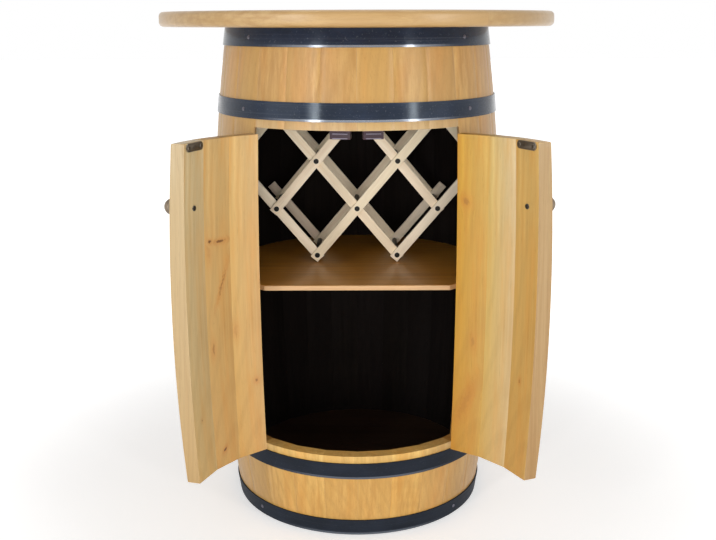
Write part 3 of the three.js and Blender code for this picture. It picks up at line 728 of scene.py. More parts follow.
# The bright colours here, with the upper hoops' metallic edge, make the painted highlight along
# each hoop's lower edge in front.
upper_hoop_steel = metal_finish("upper_hoop_steel", (24, 31, 46), (164, 169, 177), 0.0, 0.14,
                                drawn_lines=0.07, bare_highlight_edge=0.75)
lower_hoop_steel = metal_finish("lower_hoop_steel", (29, 33, 41), (104, 110, 120), 0.0, 0.55,
                                drawn_lines=0.1)
for paint, shine in ((upper_hoop_steel, 0.32), (lower_hoop_steel, 0.12)):
    paint.give("Specular IOR Level", shine)
    paint.give("Specular Tint", (0.82, 0.93, 1.0, 1))
nail_steel = metal_finish("nail_steel", (82, 80, 90), (128, 126, 136), 0.3, 0.55)


def round_head(name, radius, height):
    """A domed nail or rivet head that faces -Y, with its seat at the origin."""
    head = add_disc(name, radius, 0, height, 18)
    ease_edges(head, height * 0.7, lambda a, b: min(a.z, b.z) > height - HAIR, 3)
    head.data.transform(Matrix.Rotation(pi / 2, 4, "X"))
    mark_worn_edges(head)
    smooth(head, 50)
    return head


nail_head = round_head("nail_head", *NAIL_SIZE)
rivet_head = round_head("rivet_head", *RIVET_SIZE)
for name, base in HOOP_BASES.items():
    top = base + HOOP_HEIGHT
    low_radius = outer_radius(base) + HOOP_CLEARANCE
    high_radius = outer_radius(top) + HOOP_CLEARANCE
    bpy.ops.object.select_all(action="DESELECT")
    bpy.ops.mesh.primitive_cylinder_add(
        vertices=HOOP_SIDES, radius=low_radius, depth=HOOP_HEIGHT, end_fill_type="NOTHING",
        location=(0, 0, base + HOOP_HEIGHT / 2),
    )
    hoop = start_piece(name + "_band")
    with at_the_bench(hoop):
        pick(hoop, "VERT", lambda at: at.z > top - NEAR)
        share = high_radius / low_radius
        bpy.ops.transform.resize(value=(share, share, 1), center_override=(0, 0, top))
    lap = copy_of(hoop, name + "_lap")
    saw(lap, (LAP_REACH, 0, 0), (1, 0, 0), close=False)
    saw(lap, (-LAP_REACH, 0, 0), (-1, 0, 0), close=False)
    saw(lap, (0, 0, 0), (0, -1, 0), close=False)
    outwards = 1 + (HOOP_THICKNESS + LAP_CLEARANCE) / low_radius
    lap.data.transform(Matrix.Diagonal((outwards, outwards, 1, 1)))
    for band in (hoop, lap):
        only(band)
        wall = band.modifiers.new("wall", "SOLIDIFY")
        wall.thickness, wall.offset = HOOP_THICKNESS, 1
        bpy.ops.object.modifier_apply(modifier=wall.name)
        # A cut round the band marks off the lower strip that takes the painted highlight.
        with at_the_bench(band):
            bpy.ops.mesh.bisect(plane_co=(0, 0, base + HIGHLIGHT_BAND_HEIGHT), plane_no=(0, 0, 1))
        for edge, width in ((top, TOP_EDGE_BEVEL), (base, LOW_EDGE_BEVEL)):
            inside = outer_radius(edge) + HOOP_THICKNESS / 2
            ease_edges(band, width, lambda a, b: both_at(a, b, edge, 2 * HAIR) and hypot(
                (a.x + b.x) / 2, (a.y + b.y) / 2) > inside)
        # Paints the highlight along the lower edge in front.
        paint_front_highlight(band, base)
        smooth(band, 40)
        (upper_hoop_steel if base > MID_HEIGHT else lower_hoop_steel).put_on(band)
        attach(band, "cabinet")
    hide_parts(name)
    height = base + HOOP_HEIGHT / 2
    slope = atan2(low_radius - high_radius, HOOP_HEIGHT)
    face = outer_radius(height) + HOOP_CLEARANCE + HOOP_THICKNESS
    tip = Matrix.Rotation(-slope, 4, "X")
    nails = []
    for side in (-1, 1):
        for index in NAILED_STAVES:
            seat = Matrix.Translation((0, -face + NAIL_SINK, height)) @ tip
            nails.append(copy_of(nail_head, "nail", turned(side * stave_middle(index)) @ seat))
        seat = Matrix.Translation((0, -face - HOOP_THICKNESS + NAIL_SINK, height)) @ tip
        nails.append(copy_of(rivet_head, "rivet", turned(pi + side * RIVET_TURN) @ seat))
    nails = join_up(name + "_nails_and_rivets", nails)
    nail_steel.put_on(nails)
    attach(nails, "cabinet")
for pattern in (nail_head, rivet_head):
    bpy.data.objects.remove(pattern)

# Tabletop. Oak boards are glued edge to edge, turned round with a rounded rim and lacquered. The
# top rests on the ends of the staves, over the crossed bearer that fills the well above the head.
TOP_RADIUS = 0.320
TOP_THICKNESS = 0.023
TOP_BASE = BARREL_HEIGHT + 0.0003
RIM_RADIUS = 0.007
TOP_JOINTS = [-0.33, -0.262, -0.176, -0.086, 0.0, 0.091, 0.178, 0.26, 0.33]


def lies_level(a, b):
    return abs(a.z - b.z) < HAIR


def sawn_along(turn):
    """The grain of a piece that keeps the frame's own mesh, turned to its length."""
    return lambda look: look.add("ShaderNodeMapping", {
        "Vector": object_places(look), "Rotation": turn,
    }).outputs["Vector"]


tabletop_oak = wood_finish("tabletop_oak", (172, 135, 81), (184, 148, 92), (194, 161, 108),
                           rings=0.25, gloss=0.38, coat=0.4)
blank = add_disc("tabletop_blank", TOP_RADIUS, TOP_BASE, TOP_BASE + TOP_THICKNESS, 192)
ease_edges(blank, RIM_RADIUS, lies_level, 5)
boards = board_up(blank, "tabletop", TOP_JOINTS)
bpy.data.objects.remove(blank)
for board in boards:
    give_values(board, "edge_wear_and_highlight", "face_numbers", [0.0] * len(board.data.polygons))
    cut_from_another_log(board, stave_tint(0.03))
tabletop = join_up("tabletop_boards", boards)
smooth(tabletop, 28)
tabletop_oak.put_on(tabletop)
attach(tabletop, "cabinet")
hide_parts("tabletop")
bearer_oak = wood_finish("bearer_oak", (176, 132, 84), (196, 152, 102), (208, 168, 118),
                         gloss=0.55, grain=sawn_along((0, pi / 2, 0)))
bearer_oak.put_on(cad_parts["tabletop_bearer"])

# Shelf. A thin round board with a straight front edge between the door posts, stained brown on its
# faces and left pale on the sawn front. It rests on a rail at each side, glued to the wall.
SHELF_TOP = 0.410
SHELF_THICKNESS = 0.008
SHELF_RADIUS = inner_radius(SHELF_TOP) - 0.0003
SHELF_FRONT_HALF = 0.148
SHELF_FRONT = -sqrt(SHELF_RADIUS ** 2 - SHELF_FRONT_HALF ** 2)
SHELF_BEVEL = 0.0009
shelf_oak = wood_finish("shelf_oak", (204, 162, 116), (214, 174, 128), (222, 184, 140))
shelf_stain = wood_finish("shelf_stain", (198, 130, 44), (216, 150, 56), (228, 164, 70),
                          gloss=0.34, coat=0.15)
shelf = add_disc("shelf_board", SHELF_RADIUS, SHELF_TOP - SHELF_THICKNESS, SHELF_TOP, 120)
saw(shelf, (0, SHELF_FRONT, 0), (0, -1, 0))
ease_edges(shelf, SHELF_BEVEL, lambda a, b: (
    max(a.y, b.y) < SHELF_FRONT + HAIR and lies_level(a, b)
))
lay_grain(shelf, "X")
cut_from_another_log(shelf)
smooth(shelf, 28)
shelf_oak.put_on(shelf, shelf_stain, np.abs(face_normals(shelf)[:, 2]) > FACING)
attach(shelf, "cabinet")
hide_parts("shelf")
stained_rail = wood_finish("stained_rail", (30, 23, 20), (38, 29, 25), (46, 35, 29), gloss=0.5,
                           grain=sawn_along((pi / 2, 0, 0)))
for name in ("left_shelf_rail", "right_shelf_rail"):
    stained_rail.put_on(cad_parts[name])

# Rack. Pale planed slats cross in front and at the back, rising ones in front of falling ones, and
# dark round rods through the crossings tie the two lattices together. It stands on the shelf.
COLUMN_SPACING = 0.0695
ROW_SPACING = 0.0823
ROW_COUNT = 4
FIRST_ROW = SHELF_TOP + 0.0125
RACK_BASE = SHELF_TOP + 0.0003
RACK_TOP = 0.7203
SLAT_WIDTH = 0.016
SLAT_THICKNESS = 0.005
LAYER_STEP = 0.004
LATTICE_DEPTH = SLAT_THICKNESS + LAYER_STEP
LATTICE_FACES = {"front": -0.005, "back": 0.115}
WALL_CLEARANCE = 0.001
ROD_RADIUS = 0.0045
ROD_LENGTH = 0.131
ROD_START = -0.006
ROD_BEVEL = 0.0005
SLOPE = atan2(ROW_SPACING, COLUMN_SPACING)
SLAT_END_REACH = 0.009
SLAT_BEVEL = 0.0007
rack_wood = wood_finish("rack_wood", (240, 220, 190), (247, 231, 204), (251, 238, 214),
                        worn=(248, 240, 222), rings=0.3, gloss=0.58)
rod_wood = wood_finish("rod_wood", (24, 24, 22), (30, 29, 26), (38, 36, 32), gloss=0.5,
                       worn=(74, 70, 62), shine=0.2)


def lattice_half_width(face):
    reach = max(abs(face), abs(face + LATTICE_DEPTH))
    return sqrt(inner_radius(RACK_TOP) ** 2 - reach ** 2) - WALL_CLEARANCE


def outermost_column(half_width):
    return floor((half_width - SLAT_WIDTH / 2) / COLUMN_SPACING)


def crossings(half_width):
    columns = outermost_column(half_width)
    return [(column, row) for row in range(ROW_COUNT) for column in range(-columns, columns + 1)
            if (column + row) % 2]


def make_slat(name, line, lean, half_width, near, far):
    """A slat from the shelf, or the wall, up to the rack's top, or the wall. The one that would
    close the bottom corner stops just past its crossing at the side of the rack."""
    end_drop = SLAT_WIDTH / 2 * cos(SLOPE)
    end_reach = SLAT_WIDTH / 2 * sin(SLOPE)
    foot = line * COLUMN_SPACING
    steep = ROW_SPACING / COLUMN_SPACING
    low = max(foot + (RACK_BASE + end_drop - FIRST_ROW) / steep, end_reach - half_width)
    if line == -outermost_column(half_width) - 1:
        low = foot + COLUMN_SPACING - SLAT_END_REACH * cos(SLOPE)
    high = min(foot + (RACK_TOP - end_drop - FIRST_ROW) / steep, half_width - end_reach)
    half_length = (high - low) / 2 / cos(SLOPE)
    slat = add_block(name, (-half_length, near, -SLAT_WIDTH / 2),
                     (half_length, far, SLAT_WIDTH / 2))
    ease_edges(slat, SLAT_BEVEL, lambda a, b: True)
    lay_grain(slat, "X")
    tone = 1 + chance.uniform(-0.07, 0.04)
    cut_from_another_log(slat, (tone, tone * chance.uniform(0.975, 1.01),
                                tone * chance.uniform(0.93, 1.02)))
    middle = (low + high) / 2
    height = FIRST_ROW + (middle - foot) * steep
    slat.data.transform(Matrix.Translation((lean * middle, 0, height))
                        @ Matrix.Rotation(-lean * SLOPE, 4, "Y"))
    smooth(slat)
    rack_wood.put_on(slat)
    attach(slat, "cabinet")
    return slat


back_half_width = lattice_half_width(LATTICE_FACES["back"])
for lattice, face in LATTICE_FACES.items():
    half_width = lattice_half_width(face)
    node = {"front": "rack_front_lattice_and_rods", "back": "rack_back_lattice"}[lattice]
    for lean, near, far in ((1, face, face + SLAT_THICKNESS),
                            (-1, face + SLAT_THICKNESS, face + LATTICE_DEPTH)):
        lines = sorted({lean * column - row for column, row in crossings(half_width)})
        for number, line in enumerate(lines, 1):
            way = "rising" if lean > 0 else "falling"
            slat = make_slat(f"{lattice}_{way}_slat_{number}", line, lean, half_width, near, far)
            if (lean, number) == (1, 1):
                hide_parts(node)
rod = add_disc("rod", ROD_RADIUS, 0, ROD_LENGTH, 20)
ease_edges(rod, ROD_BEVEL, lies_level)
lay_grain(rod)
rod.data.transform(Matrix.Rotation(-pi / 2, 4, "X"))
rods = []
for column, row in crossings(back_half_width):
    place = (column * COLUMN_SPACING, ROD_START, FIRST_ROW + row * ROW_SPACING)
    one = copy_of(rod, f"rod_{len(rods) + 1}", Matrix.Translation(place))
    cut_from_another_log(one)
    rods.append(one)
bpy.data.objects.remove(rod)
rods = join_up("rack_rods", rods)
smooth(rods)
rod_wood.put_on(rods)
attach(rods, "cabinet")

# Magnetic catches. Each is a brown moulded housing with two steel pole plates that stand a little
# proud of it. They are glued and screwed under a short oak rail behind the upper short staves.
DOOR_TOP = 0.65725
STRIKE_PLACE = 0.65095
PLATE_GAP = 0.0003
PLATE_THICKNESS = 0.0015
STRIKE_FACE = inner_radius(DOOR_TOP) - PLATE_GAP - PLATE_THICKNESS
POLE_TO_PLATE = 0.0008
POLE_PROUD = 0.001
POLE_PLACE = STRIKE_PLACE + 0.0016
POLE_SPACING = 0.007
POLE_DEPTH = 0.007
POLE_HALF_WIDTH = 0.0115
POLE_HALF_THICKNESS = 0.0007
POLE_BEVEL = 0.0003
CATCH_FACE = STRIKE_FACE - POLE_TO_PLATE - POLE_PROUD
CATCH_MARGIN = 0.0012
CATCH_HEIGHT = 0.0126
CATCH_BOTTOM = POLE_PLACE - POLE_SPACING / 2 - CATCH_MARGIN
CATCH_TOP = CATCH_BOTTOM + CATCH_HEIGHT
CATCH_DEPTH = 0.014
CATCH_HALF_WIDTH = 0.0155
CATCH_RIM = 0.0012
CATCH_RECESS = 0.0006
CATCH_BEVEL = 0.0008
catch_plastic = metal_finish("catch_plastic", (44, 28, 36), (86, 64, 74), 0.0, 0.5,
                             lines=(260, 260, 260))
pole_steel = metal_finish("pole_steel", (112, 106, 118), (160, 156, 168), 0.7, 0.45,
                          lines=(900, 900, 40))
for side_name, side in (("left", -1), ("right", 1)):
    turn = turned(side * stave_middle(0))
    housing = add_block(
        f"{side_name}_catch_housing", (-CATCH_HALF_WIDTH, -CATCH_FACE, CATCH_BOTTOM),
        (CATCH_HALF_WIDTH, CATCH_DEPTH - CATCH_FACE, CATCH_TOP),
    )
    with at_the_bench(housing):
        pick(housing, "FACE", lambda at, normal: normal.y < -FACING)
        bpy.ops.mesh.inset(thickness=CATCH_RIM)
        bpy.ops.transform.translate(value=(0, CATCH_RECESS, 0))
    ease_edges(housing, CATCH_BEVEL, lambda a, b: (
        min(a.y, b.y) > CATCH_DEPTH - CATCH_FACE - NEAR or abs(a.y - b.y) > CATCH_DEPTH / 2
    ))
    housing.data.transform(turn)
    mark_worn_edges(housing)
    smooth(housing)
    catch_plastic.put_on(housing)
    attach(housing, "cabinet")
    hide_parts(f"{side_name}_catch")
    poles = []
    for end in (-1, 1):
        middle = POLE_PLACE + end * POLE_SPACING / 2
        pole = add_block(
            f"{side_name}_pole_{end}",
            (-POLE_HALF_WIDTH, -CATCH_FACE - POLE_PROUD, middle - POLE_HALF_THICKNESS),
            (POLE_HALF_WIDTH, POLE_DEPTH - CATCH_FACE, middle + POLE_HALF_THICKNESS),
        )
        ease_edges(pole, POLE_BEVEL, lambda a, b: max(a.y, b.y) < -CATCH_FACE)
        mark_worn_edges(pole)
        poles.append(pole)
    poles = join_up(f"{side_name}_catch_poles", poles)
    poles.data.transform(turn)
    smooth(poles)
    pole_steel.put_on(poles)
    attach(poles, "cabinet")
stained_rail.put_on(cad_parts["catch_rail"])

# Hinges. Each is a pair of steel leaves, screwed into housings in the door and in the stave beside
# it, and a loose pin that drops through their three knuckles. The leaves are dark, the pin bright.
LEFT_OPEN = radians(105.5)
RIGHT_OPEN = radians(111)
LEAF_CORNER = 0.004
LEAF_BEVEL = 0.0003
KNUCKLE_GAP = 0.0004
KNUCKLE_BEVEL = 0.0004
KNUCKLE_BORE = 0.0019
BORE_OVERRUN = 0.01
WEB_REACH = 0.0022
WEB_LAP = 0.0018
WEB_SET_BACK = 0.001
SCREW_REACH = 0.018
SCREW_RADIUS = 0.0032
SCREW_SINK = 0.0004
SCREW_HEIGHT = 0.0009
SCREW_ROUNDING = 0.0006
SLOT_FLOOR = 0.0002
SLOT_TOP = 0.002
SLOT_HALF_LENGTH = 0.0021
SLOT_HALF_WIDTH = 0.0004
PIN_RADIUS = 0.0016
PIN_HEAD_RADIUS = 0.0028
PIN_HEAD_HEIGHT = 0.0015
PIN_HEAD_GAP = 0.0003
PIN_HEAD_LAP = 0.0004
PIN_BEVEL = 0.0005
PIN_HEAD_BEVEL = 0.0008
hinge_steel = metal_finish("hinge_steel", (58, 55, 52), (138, 134, 128), 0.7, 0.4,
                           lines=(30, 30, 600))
pin_steel = metal_finish("pin_steel", (150, 150, 152), (214, 214, 216), 0.95, 0.28,
                         lines=(500, 500, 500))
screw_head = add_disc("screw_head", SCREW_RADIUS, -SCREW_SINK, SCREW_HEIGHT, 20)
ease_edges(screw_head, SCREW_ROUNDING, lambda a, b: min(a.z, b.z) > SCREW_HEIGHT - HAIR, 2)
for long, wide in ((SLOT_HALF_LENGTH, SLOT_HALF_WIDTH), (SLOT_HALF_WIDTH, SLOT_HALF_LENGTH)):
    carve(screw_head, add_block("slot", (-long, -wide, SLOT_FLOOR), (long, wide, SLOT_TOP)))
screw_head.data.transform(Matrix.Rotation(pi / 2, 4, "X"))
mark_worn_edges(screw_head)


def pin_place(side):
    """Where a shut door's hinge pins stand, across the barrel and from its middle."""
    return side * PIN_CIRCLE * sin(DOORWAY_HALF_ANGLE), -PIN_CIRCLE * cos(DOORWAY_HALF_ANGLE)


def door_swing(side):
    """The move that takes a shut door, drawn round the barrel, to where it stands open."""
    pin = Vector((*pin_place(side), 0))
    angle = side * (LEFT_OPEN if side < 0 else RIGHT_OPEN)
    return Matrix.Translation(pin) @ turned(angle) @ Matrix.Translation(-pin)


def make_leaf(name, side, on_door, height):
    towards_pin, pin_x, near, far = leaf_edges(side, on_door)
    pin_y = -PIN_CIRCLE * cos(STAVE_PITCH / 2)
    low = height - HINGE_HEIGHT / 2
    left, right = sorted((near, far))
    plate = add_block(name + "_plate", (left, -LEAF_SEAT - LEAF_THICKNESS, low),
                      (right, -LEAF_SEAT, low + HINGE_HEIGHT))
    ease_edges(plate, LEAF_CORNER, lambda a, b: (
        abs(a.y - b.y) > NEAR and abs(a.x - far) < HAIR
    ), 4)
    ease_edges(plate, LEAF_BEVEL, lambda a, b: max(a.y, b.y) < -LEAF_SEAT - NEAR, 1)
    pieces = [plate]
    length = (HINGE_HEIGHT - 2 * KNUCKLE_GAP) / 3
    for knuckle in ((1,) if on_door else (0, 2)):
        start = low + knuckle * (length + KNUCKLE_GAP)
        barrel = add_disc(name + "_knuckle", KNUCKLE_RADIUS, start, start + length, 24,
                          (pin_x, pin_y))
        ease_edges(barrel, KNUCKLE_BEVEL, lies_level)
        carve(barrel, add_disc("bore", KNUCKLE_BORE, start - BORE_OVERRUN,
                               start + length + BORE_OVERRUN, 20, (pin_x, pin_y)))
        web = sorted((pin_x - towards_pin * WEB_REACH, near - towards_pin * WEB_LAP))
        pieces += [barrel, add_block(name + "_web", (web[0], pin_y + WEB_SET_BACK, start),
                                     (web[1], -LEAF_SEAT, start + length))]
    for piece in pieces:
        mark_worn_edges(piece)
    middle = (near + far) / 2
    for end in (-1, 1):
        place = (middle, -LEAF_SEAT - LEAF_THICKNESS, height + end * SCREW_REACH)
        spin = Matrix.Rotation(chance.uniform(0, pi), 4, "Y")
        pieces.append(copy_of(screw_head, "screw", Matrix.Translation(place) @ spin))
    leaf = join_up(name, pieces)
    stave_angle = side * (DOORWAY_HALF_ANGLE + (-1 if on_door else 1) * STAVE_PITCH / 2)
    leaf.data.transform((door_swing(side) if on_door else Matrix()) @ turned(stave_angle))
    smooth(leaf)
    hinge_steel.put_on(leaf)
    return leaf


for side_name, side in (("left", -1), ("right", 1)):
    for place, height in HINGE_PLACES.items():
        for kind, on_door in (("fixed", False), ("door", True)):
            node = f"{side_name}_{place}_hinge_{kind}_leaf"
            leaf = make_leaf(node + "_screwed", side, on_door, height)
            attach(leaf, f"{side_name}_door" if on_door else "cabinet")
            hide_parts(node)
        node = f"{side_name}_{place}_hinge_pin"
        top = height + HINGE_HEIGHT / 2 + PIN_HEAD_GAP
        at = pin_place(side)
        shank = add_disc(node + "_shank", PIN_RADIUS, top - HINGE_HEIGHT, top + PIN_HEAD_LAP, 20,
                         at)
        ease_edges(shank, PIN_BEVEL, lambda a, b: max(a.z, b.z) < top - HINGE_HEIGHT / 2)
        head = add_disc(node + "_head", PIN_HEAD_RADIUS, top, top + PIN_HEAD_HEIGHT, 24, at)
        ease_edges(head, PIN_HEAD_BEVEL, lambda a, b: min(a.z, b.z) > top + NEAR, 3)
        pin = join_up(node + "_turned", [shank, head])
        mark_worn_edges(pin)
        smooth(pin)
        pin_steel.put_on(pin)
        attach(pin, "cabinet")
        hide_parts(node)

# Doors. Each is three staves glued edge to edge and sawn off square at top and bottom, lacquered
# inside and out. The boards differ in tone, deepen towards the foot, and a few carry small knots.
# Each door's free edge takes its own darker copy of the door oak, as painted shade.
DOOR_BOTTOM = 0.15275
SIDE_TRIM = 0.001
DOOR_END_BEVEL = 0.0012
DOOR_OAK = ((184, 142, 85), (202, 164, 105), (214, 180, 122))
# Shares of the door oak for each door's free edge: painted shade, set apart for each door.
FREE_EDGE_SHADE = {"left": (0.89, 0.86, 0.84), "right": (0.84, 0.84, 0.97)}
TOP_TONE = np.array((1.05, 1.14, 1.32))
FOOT_TONE = np.array((0.95, 0.88, 0.76))
SIDEWAYS_TONE = np.array((0.06, 0.2, 1.0))
DOOR_BOARDS = {
    ("left", 1): ((1.09, 1.29, 1.66), 0, ((0.004, 0.245, 0.0012, 0.002, 0, 0.7),)),
    ("left", 2): ((1.04, 1.04, 0.99), 0, (
        (0.0165, 0.5086, 0.0034, 0.0028, 0.3, 0.9), (-0.006, 0.5055, 0.0095, 0.0024, 0, 0.8),
        (0.018, 0.494, 0.0030, 0.012, 0.1, 0.1), (-0.008, 0.441, 0.0022, 0.021, -0.42, 0.42),
        (0.0155, 0.343, 0.0028, 0.010, 0, 0.4), (0.0055, 0.179, 0.0026, 0.0034, -0.5, 1.0),
    )),
    ("left", 3): ((1.10, 1.10, 1.05), -0.2, (
        (-0.013, 0.272, 0.0028, 0.0030, 0, 0.6), (0.021, 0.361, 0.004, 0.009, 0, 0.08),
    )),
    ("right", 1): ((1.06, 1.03, 0.79), 0, ((0.004, 0.300, 0.002, 0.0036, 0, 0.35),)),
    ("right", 2): ((1.11, 1.25, 1.35), 0.38, ()),
    ("right", 3): ((0.93, 0.82, 0.32), 0.8, (
        (0.0105, 0.5567, 0.0055, 0.0060, 0.2, 0.3), (-0.006, 0.338, 0.0032, 0.009, 0, 0.2),
        (0.004, 0.2347, 0.006, 0.026, -0.43, 0.1),
    )),
}


def board_tints(board, side, tint, towards_free_edge):
    """The board's tint at each corner, paler at the top and, by its share, towards one side."""
    tints = []
    for corner in board.data.vertices:
        rise = (corner.co.z - DOOR_BOTTOM) / (DOOR_TOP - DOOR_BOTTOM)
        aside = -side * corner.co.x / (BELLY_RADIUS * sin(STAVE_PITCH / 2))
        tone = FOOT_TONE + (TOP_TONE - FOOT_TONE) * rise
        tints.append(tint * tone * (1 + towards_free_edge * aside * SIDEWAYS_TONE))
    return tints


for side_name, side in (("left", -1), ("right", 1)):
    # A darker copy of the door oak for the free edge, as painted shade.
    shaded_free_edge = wood_finish(f"{side_name}_shaded_door_edge", *[
        [one * share for one, share in zip(colour, FREE_EDGE_SHADE[side_name])] for colour in DOOR_OAK
    ])
    for number in (1, 2, 3):
        name = f"{side_name}_door_stave_{number}"
        board = copy_of(stave_blank, name + "_turned")
        saw(board, (0, 0, DOOR_TOP), (0, 0, 1))
        saw(board, (0, 0, DOOR_BOTTOM), (0, 0, -1))
        if number != 2:
            towards = -side if number == 1 else side
            angle = towards * (STAVE_PITCH / 2 - SIDE_TRIM / BELLY_RADIUS)
            saw(board, (0, 0, 0), (towards * cos(angle), abs(sin(angle)), 0))
        ease_edges(board, DOOR_END_BEVEL,
                   lambda a, b: both_at(a, b, DOOR_TOP) or both_at(a, b, DOOR_BOTTOM))
        if number == 3:
            house_hinges(board, side, on_door=True)
        lay_grain(board)
        tint, towards_free_edge, knots = DOOR_BOARDS[(side_name, number)]
        finish = wood_finish(f"{side_name}_door_oak_{number}", *DOOR_OAK, amber=0.5, knots=knots)
        give_values(board, "tint", "corner_vectors",
                    board_tints(board, side, tint, towards_free_edge))
        free_edge = (face_normals(board)[:, 0] * -side > FACING) & (number == 1)
        board.data.transform(door_swing(side) @ turned(side * stave_middle(number - 1)))
        smooth(board)
        finish.put_on(board, shaded_free_edge, free_edge)
        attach(board, f"{side_name}_door")
        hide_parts(name)

# Knobs and strike plates. A turned steel knob sits near the top of each free edge, held by a screw
# from inside, and a dark steel plate with round ends, screwed inside, meets the catch.
KNOB_PLACE = DOOR_TOP - 0.093
KNOB_RADIUS = 0.011
STEM_RADIUS = 0.006
STEM_HEIGHT = 0.007
KNOB_TURNINGS = ((0.0039, KNOB_RADIUS), (0.0052, KNOB_RADIUS), (0.0039, 0.0077))
KNOB_FACE = STEM_HEIGHT + sum(rise for rise, radius in KNOB_TURNINGS)
KNOB_GAP = 0.0003
KNOB_RIM = 0.0012
KNOB_DISH = 0.0003
KNOB_BEVEL = 0.0012
KNOB_SCREW_SIZE = 1.3
KNOB_SCREW_SINK = 0.0002
PLATE_HALF_LENGTH = 0.021
PLATE_HALF_WIDTH = 0.006
PLATE_ROUNDING = 0.00599
PLATE_BEVEL = 0.0004
PLATE_SCREW_REACH = 0.0155
knob_steel = metal_finish("knob_steel", (104, 92, 78), (158, 148, 134), 0.75, 0.42,
                          lines=(240, 240, 240))
plate_steel = metal_finish("plate_steel", (84, 77, 68), (156, 150, 140), 0.8, 0.42,
                           lines=(60, 60, 900))
for side_name, side in (("left", -1), ("right", 1)):
    swing = door_swing(side) @ turned(side * stave_middle(0))
    seat = outer_radius(KNOB_PLACE) + KNOB_GAP
    knob = add_disc(f"{side_name}_knob_turned", STEM_RADIUS, 0, STEM_HEIGHT, 32)
    with at_the_bench(knob):
        pick(knob, "FACE", lambda at, normal: normal.z > FACING)
        for rise, radius in KNOB_TURNINGS:
            bpy.ops.mesh.extrude_region_move(TRANSFORM_OT_translate={"value": (0, 0, rise)})
            now = max(v.co.x for v in bmesh.from_edit_mesh(knob.data).verts if v.select)
            bpy.ops.transform.resize(value=(radius / now, radius / now, 1),
                                     center_override=(0, 0, 0))
        bpy.ops.mesh.inset(thickness=KNOB_RIM)
        bpy.ops.transform.translate(value=(0, 0, -KNOB_DISH))
    put_in_order(knob)
    ease_edges(knob, KNOB_BEVEL, lambda a, b: (
        lies_level(a, b) and STEM_HEIGHT + NEAR < a.z < KNOB_FACE - NEAR
    ), 3)
    mark_worn_edges(knob)
    knob.data.transform(
        Matrix.Translation((0, -seat, KNOB_PLACE)) @ Matrix.Rotation(pi / 2, 4, "X"))
    inner_seat = inner_radius(KNOB_PLACE) - KNOB_SCREW_SINK
    screw = copy_of(screw_head, "knob_screw", Matrix.Translation((0, -inner_seat, KNOB_PLACE))
                    @ turned(pi) @ Matrix.Scale(KNOB_SCREW_SIZE, 4))
    knob_steel.put_on(knob)
    hinge_steel.put_on(screw)
    knob = join_up(f"{side_name}_knob_turned", [knob, screw])
    knob.data.transform(swing)
    smooth(knob, 40)
    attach(knob, f"{side_name}_door")
    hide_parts(f"{side_name}_knob")
    plate = add_block(
        f"{side_name}_strike_plate_screwed",
        (-PLATE_HALF_LENGTH, -STRIKE_FACE - PLATE_THICKNESS, -PLATE_HALF_WIDTH),
        (PLATE_HALF_LENGTH, -STRIKE_FACE, PLATE_HALF_WIDTH),
    )
    ease_edges(plate, PLATE_ROUNDING, lambda a, b: abs(a.y - b.y) > NEAR, 8)
    ease_edges(plate, PLATE_BEVEL, lambda a, b: min(a.y, b.y) > -STRIKE_FACE - HAIR, 2)
    mark_worn_edges(plate)
    screws = [copy_of(screw_head, "plate_screw", Matrix.Translation((x, -STRIKE_FACE, 0))
                      @ turned(pi) @ Matrix.Rotation(x * 40, 4, "Y"))
              for x in (-PLATE_SCREW_REACH, PLATE_SCREW_REACH)]
    plate = join_up(f"{side_name}_strike_plate_screwed", [plate] + screws)
    plate.data.transform(swing @ Matrix.Translation((0, 0, STRIKE_PLACE)))
    smooth(plate)
    plate_steel.put_on(plate)
    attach(plate, f"{side_name}_door")
    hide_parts(f"{side_name}_strike_plate")
for pattern in (screw_head, stave_blank):
    bpy.data.objects.remove(pattern)

# Studio. A pale floor under a white surround, a broad low lamp in front that gloss doesn't mirror,
# two tall strip lamps that draw the soft lights on the hoops, and a lamp at each side and above.
# The camera stands where the photograph was taken from.
FLOOR_COLOURS = (0.80, 0.80, 0.80, 1), (0.84, 0.84, 0.84, 1)
SURROUND_LIGHT = 0.26
LAMPS_AIM = Vector((0, 0, 0.45))
LAMPS = (
    ("front_lamp", (0.0, -2.5, 0.6), 1.4, 0.7, 28.5),
    ("left_strip_lamp", (-1.5, -2.4, 1.05), 0.3, 1.1, 14.5),
    ("right_strip_lamp", (2.1, -2.2, 1.05), 0.3, 1.1, 13),
    ("left_lamp", (-2.4, -1.4, 1.5), 1.6, 1.6, 7),
    ("right_lamp", (2.4, -1.4, 1.5), 1.6, 1.6, 4.5),
    ("top_lamp", (0.2, 0.4, 3.0), 2.0, 2.0, 16),
)
CAMERA_PLACE = (0.0013, -1.6512, 0.8182)
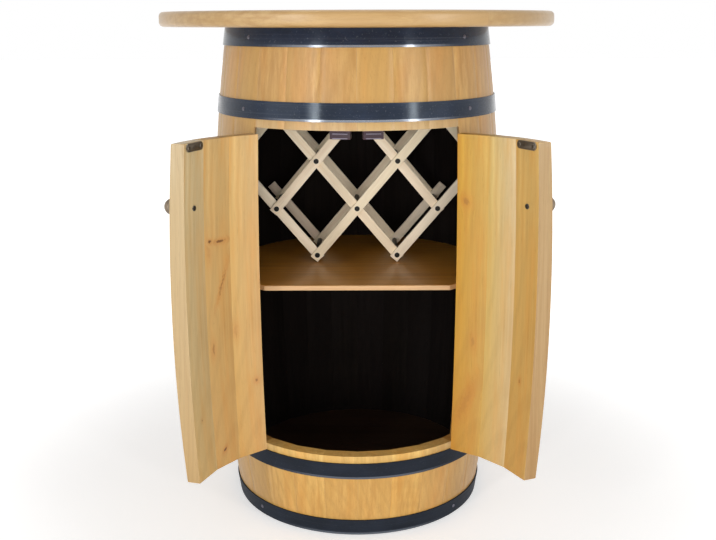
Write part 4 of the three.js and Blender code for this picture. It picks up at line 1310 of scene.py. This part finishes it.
CAMERA_TILT = radians(14.394)
CAMERA_ROLL = -0.0028
CAMERA_LENS = 48.73


def seen_itself(look):
    """1 where the surface is seen, straight, mirrored or through something clear, else 0."""
    seen = look.add("ShaderNodeLightPath").outputs
    return look.number("MAXIMUM", seen["Is Camera Ray"], look.number(
        "MAXIMUM", seen["Is Glossy Ray"], seen["Is Transmission Ray"]))


bpy.ops.object.select_all(action="DESELECT")
bpy.ops.mesh.primitive_plane_add(size=40, location=(0, 0, -0.0002))
floor_sheet = start_piece("floor")
pale = Finish(bpy.data.materials.new("pale_floor"))
mottle = pale.noise(object_places(pale), (6, 6, 6), 3).outputs["Fac"]
pale.give("Base Color", pale.mix(mottle, *FLOOR_COLOURS))
pale.give("Roughness", 0.9)
pale.give("Emission Color", (1, 1, 1, 1))
far_off = pale.span(pale.vector("LENGTH", object_places(pale)), 0.4, 1.3, 0.42, 1.0)
pale.give("Emission Strength", pale.number("MULTIPLY", seen_itself(pale), far_off))
pale.put_on(floor_sheet)

surround = Finish(bpy.data.worlds.new("studio"), "Background")
bpy.context.scene.world = surround.material
surround.give("Color", (1, 1, 1, 1))
surround.give("Strength", surround.span(seen_itself(surround), 0.0, 1.0, SURROUND_LIGHT, 1.0))

for name, place, width, height, power in LAMPS:
    bpy.ops.object.light_add(type="AREA", location=place)
    lamp = bpy.context.object
    lamp.name = name
    lamp.data.shape, lamp.data.size, lamp.data.size_y = "RECTANGLE", width, height
    lamp.data.energy = power
    lamp.visible_glossy = name != "front_lamp"
    lamp.rotation_euler = (LAMPS_AIM - Vector(place)).to_track_quat("-Z", "Y").to_euler()

bpy.ops.object.camera_add(location=CAMERA_PLACE)
camera = bpy.context.object
camera.rotation_euler = (
    Matrix.Rotation(pi / 2 - CAMERA_TILT, 4, "X") @ Matrix.Rotation(CAMERA_ROLL, 4, "Z")
).to_euler()
camera.data.lens = CAMERA_LENS
camera.data.sensor_width = 36
bpy.context.scene.camera = camera
bpy.context.scene.view_settings.view_transform = "Standard"
